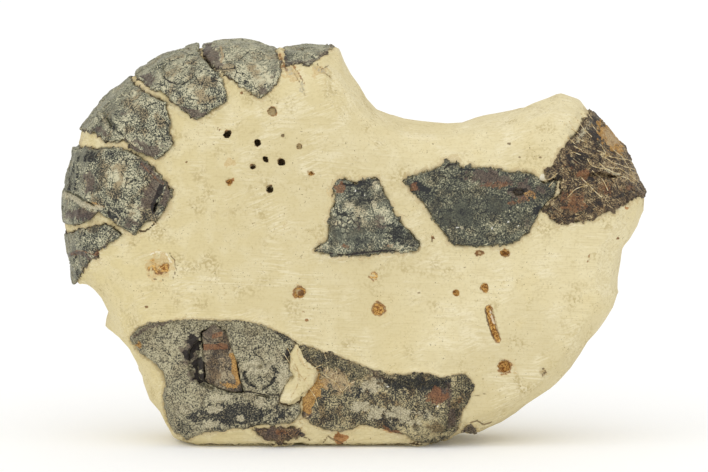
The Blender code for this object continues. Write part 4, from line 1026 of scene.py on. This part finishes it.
stoneMesh = makeStone()
swell(stoneMesh, stone["swells"])
stoneTree = treeOf(points(stoneMesh))
shellMeshes = {}
for name, piece in shells.items():
    mesh = fineCopy(frameName(name), piece["voxel"])
    swell(mesh, piece.get("swells", []))
    place = points(mesh)
    gap = gapTo(stoneTree, place)
    beside = 1.0 - smoothStep(gap, fit["near"], fit["far"])
    chipped = roughness(place, 1.8, 31) * 0.5 + chips(place, 0.8) + chips(place, 0.45) * 0.7
    grown = beside * (fit["gapClosed"] + chipped * piece["chips"])
    movePoints(mesh, place + normals(mesh) * grown[:, None])
    setAttribute(mesh, "rim", 1.0 - smoothStep(gap, fit["rimNear"], fit["rimFar"]))
    setAttribute(mesh, "contact", 1.0 - smoothStep(gap, fit["dustNear"], fit["dustFar"]))
    shellMeshes[name] = mesh
print("fine copies are ready")

weathering = weatheringTree()
stonePlace = points(stoneMesh)
shellTree = treeOf(np.concatenate([points(mesh) for mesh in shellMeshes.values()]))
seam = gapTo(shellTree, stonePlace)
# the stone beside the shell is marked for the painted shade and dirt along the seam
setAttribute(stoneMesh, "seam", 1.0 - smoothStep(seam, stone["seamNear"], stone["seamReach"]))
fillet = (1.0 - smoothStep(seam, 0.3, stone["filletReach"])) * (1.0 + roughness(stonePlace, 0.8, 12))
movePoints(stoneMesh, stonePlace + normals(stoneMesh) * (stone["fillet"] * fillet)[:, None])
backness = smoothStep(stonePlace[:, 1], -4.0, 3.0)
wear = 1.0 + (stone["backWear"] - 1.0) * backness
setAttribute(stoneMesh, "unprepared", backness)
setAttribute(stoneMesh, "worn", wear * smoothStep(seam, 0.1, 1.2))
kind, width, path = stone["burrow"]
beside = [(x - 0.6, z + 0.1) for x, z in path]
stone["lines"][kind] = [(width, 1.1, *path)]
stone["lines"]["brown"].append((width * 1.7, 0.7, *path))
stone["lines"]["dark"].append((0.3, 1, *beside))
addStains(stoneMesh, stone, 1)
stoneMesh = growTree(stoneMesh, weathering, stone, stoneFinish(stoneLook))
print("stone is ready")

granules = {"density": 7.5, "smallest": 0.14, "largest": 0.38, "sink": 0.02}
granuleMaker = granuleTree()
finished = {"stoneMatrix": handOver(stoneMesh, "stoneMatrix", "stone_matrix")}
for name, piece in shells.items():
    mesh = shellMeshes[name]
    finish = shellFinish(name + "Shell", piece["look"])
    place = points(mesh)
    setAttribute(mesh, "worn", np.ones(len(place)))
    addStains(mesh, piece, piece["patternSeed"])
    if "granular" in piece:
        across, up = seenPlaces(place)
        away = lineDistance(across, up, piece["granular"])
        front = smoothStep(-normals(mesh)[:, 1] + normals(mesh)[:, 2] * 0.6, 0.1, 0.4)
        share = 1.0 - smoothStep(away, piece["granularReach"] * 0.5, piece["granularReach"])
        setAttribute(mesh, "granular", share * front)
    mesh = growTree(mesh, weathering, piece, finish)
    if "granular" in piece:
        beads = growTree(mesh.copy(), granuleMaker, granules, finish)
        handOver(beads, name + "Granules")
    finished[name] = handOver(mesh, name, frameName(name))


# Dry rootlets and pale fibres that lie on the shell: radius, then seen x and z

rootlets = {
    "thickness": 0.075, "wiggle": 0.12, "step": 0.35,
    "lookFrom": -60.0,                  # in front of everything
    "paths": [
        (0.1, (42.6, 49.9), (44.4, 48.5), (46.6, 47.9)),
        (0.07, (42.3, 52), (45.2, 50.9), (48.4, 50.2), (50.1, 48.1)),
        (0.06, (43.1, 51.1), (45.8, 49.7), (49.3, 48.8)), (0.07, (44, 49.3), (47, 48.5), (49.8, 46.5)),
        (0.06, (41.4, 48.5), (43.1, 47.1), (44.2, 45)), (0.06, (44.9, 47.1), (47, 47.4), (49.4, 46.2)),
        (0.07, (40.5, 50.6), (41.7, 49.2), (43.8, 48.8)), (0.06, (45.2, 52.3), (47, 50.6), (49.1, 47.2)),
        (0.05, (39.6, 47.4), (41, 45.7), (43.1, 43.9)), (0.05, (37.2, 43.9), (38.6, 45.3), (40.7, 46)),
        (0.05, (42.8, 53.2), (43.8, 51.6), (43.5, 49.7)), (0.08, (38.6, 57.9), (39.6, 56.5)),
        (0.08, (39.6, 58.6), (40.7, 57)), (0.08, (40.7, 59), (41.6, 57.6)),
        (0.07, (37.9, 55.8), (39.3, 54.8)), (0.07, (38.9, 54.1), (40.5, 53.4)),
        (0.07, (38.2, 52.8), (39.6, 52.1)), (0.07, (40.2, 55.8), (41.4, 54.4)),
        (0.07, (41.4, 56.9), (42.4, 55.3)), (0.08, (37.2, 54.2), (38.4, 53.2)),
        (0.07, (37.5, 57.2), (38.4, 55.8)), (0.06, (39.3, 57), (40.3, 55.3)),
        (0.06, (38.1, 51.8), (39.5, 51.3)),
        (0.07, (-11.5, 17.5), (-10.8, 15.9), (-9.9, 14.2), (-9.2, 11.7)),
        (0.07, (-12.2, 16.6), (-11.1, 14.9), (-10.1, 13.3)),
        (0.07, (-9.7, 17.5), (-9.5, 16.1), (-8.8, 14.7), (-7.6, 13.8), (-5.3, 14.7)),
        (0.07, (-9.4, 13.1), (-9.9, 10.7), (-10.9, 8.9)),
        (0.06, (-8.8, 11.7), (-7.6, 12.8), (-5.5, 13.3)), (0.06, (-3.2, 14.9), (-2.9, 12.9), (-3.4, 11)),
        (0.06, (-1.8, 14), (-1.1, 12.2), (-0.6, 10.5)), (0.06, (-5.3, 13.1), (-2.9, 11.2), (-1.8, 9.6)),
        (0.05, (-5.3, 17), (-4.5, 14.7), (-4.8, 12.6)), (0.07, (-12, 3.5), (-10.6, 4.4), (-7.8, 5.6)),
        (0.06, (-9.4, 3.3), (-8.8, 3.8), (-9.4, 4.7)), (0.05, (-2, 9.8), (-0.3, 11.4), (2.2, 12.1)),
        (0.05, (-11.1, 14.2), (-9.4, 13.1), (-7.1, 9.6), (-6.2, 7.5)),
        (0.08, (32.8, 46.7), (34.2, 47.1), (35.4, 48.1)),
        (0.07, (33.3, 42.5), (34.4, 43.6), (35.8, 44.3)), (0.06, (33.9, 45.7), (34.7, 46.7))]}


def threadFinish():
    finish, graph = newFinish("dryRootlet")
    place = placeInMillimetres(graph)
    grain = graph.noise(place, 0.6, 2.0, 41)
    colour = graph.mix(graph.step(grain, 0.35, 0.65), paint(186, 160, 108), paint(228, 214, 176))
    closeFinish(graph, colour, 0.7, grain, 0.02, 0.3)
    return finish


def layOn(trees, across, up):
    # the first surface that the camera's line meets, in millimetres
    outside = rootlets["lookFrom"]
    start = Vector((across, outside, up - (outside - frontPlane) * viewSlope)) * millimetre
    ahead = Vector((0.0, 1.0, -viewSlope)).normalized()
    hits = [tree.ray_cast(start, ahead) for tree in trees]
    hits = [hit for hit in hits if hit[0] is not None]
    return min(hits, key=lambda hit: hit[3])[0] / millimetre if hits else None


def layRootlets():
    graph = bpy.context.evaluated_depsgraph_get()
    trees = [BVHTree.FromObject(piece, graph) for piece in finished.values()]
    spots = []
    edges = []
    tapers = []
    for number, (radius, *path) in enumerate(rootlets["paths"]):
        line = smoothLine(path, rootlets["step"])
        laid = []
        for order, (across, up) in enumerate(line):
            sway = rootlets["wiggle"] * noise.noise(Vector((number * 5.3, order * 0.25, 0.0)))
            spot = layOn(trees, across + sway, up + sway)
            if spot is not None:
                laid.append(spot - Vector((0.0, radius * 0.6, 0.0)))
        ends = max(1, len(laid) - 1)
        for order, spot in enumerate(laid):
            if order:
                edges.append((len(spots) - 1, len(spots)))
            spots.append(spot)
            tapers.append(radius / rootlets["thickness"] * (0.45 + 0.55 * math.sin(math.pi * order / ends)))
    mesh = bpy.data.meshes.new("rootlets")
    mesh.from_pydata(spots, edges, [])
    setAttribute(mesh, "taper", tapers)
    tubes = growTree(mesh, threadTree(), rootlets, threadFinish())
    handOver(tubes, "rootlets")


def smoothLine(path, step):
    spots = [np.array(spot) for spot in path]
    spots = [2 * spots[0] - spots[1], *spots, 2 * spots[-1] - spots[-2]]
    line = []
    for before, start, end, after in zip(spots, spots[1:], spots[2:], spots[3:]):
        pieces = max(2, int(np.linalg.norm(end - start) / step))
        for order in range(pieces):
            t = order / pieces
            line.append(0.5 * (2 * start + (end - before) * t
                               + (2 * before - 5 * start + 4 * end - after) * t * t
                               + (3 * start - before - 3 * end + after) * t ** 3))
    line.append(spots[-2])
    return line


layRootlets()
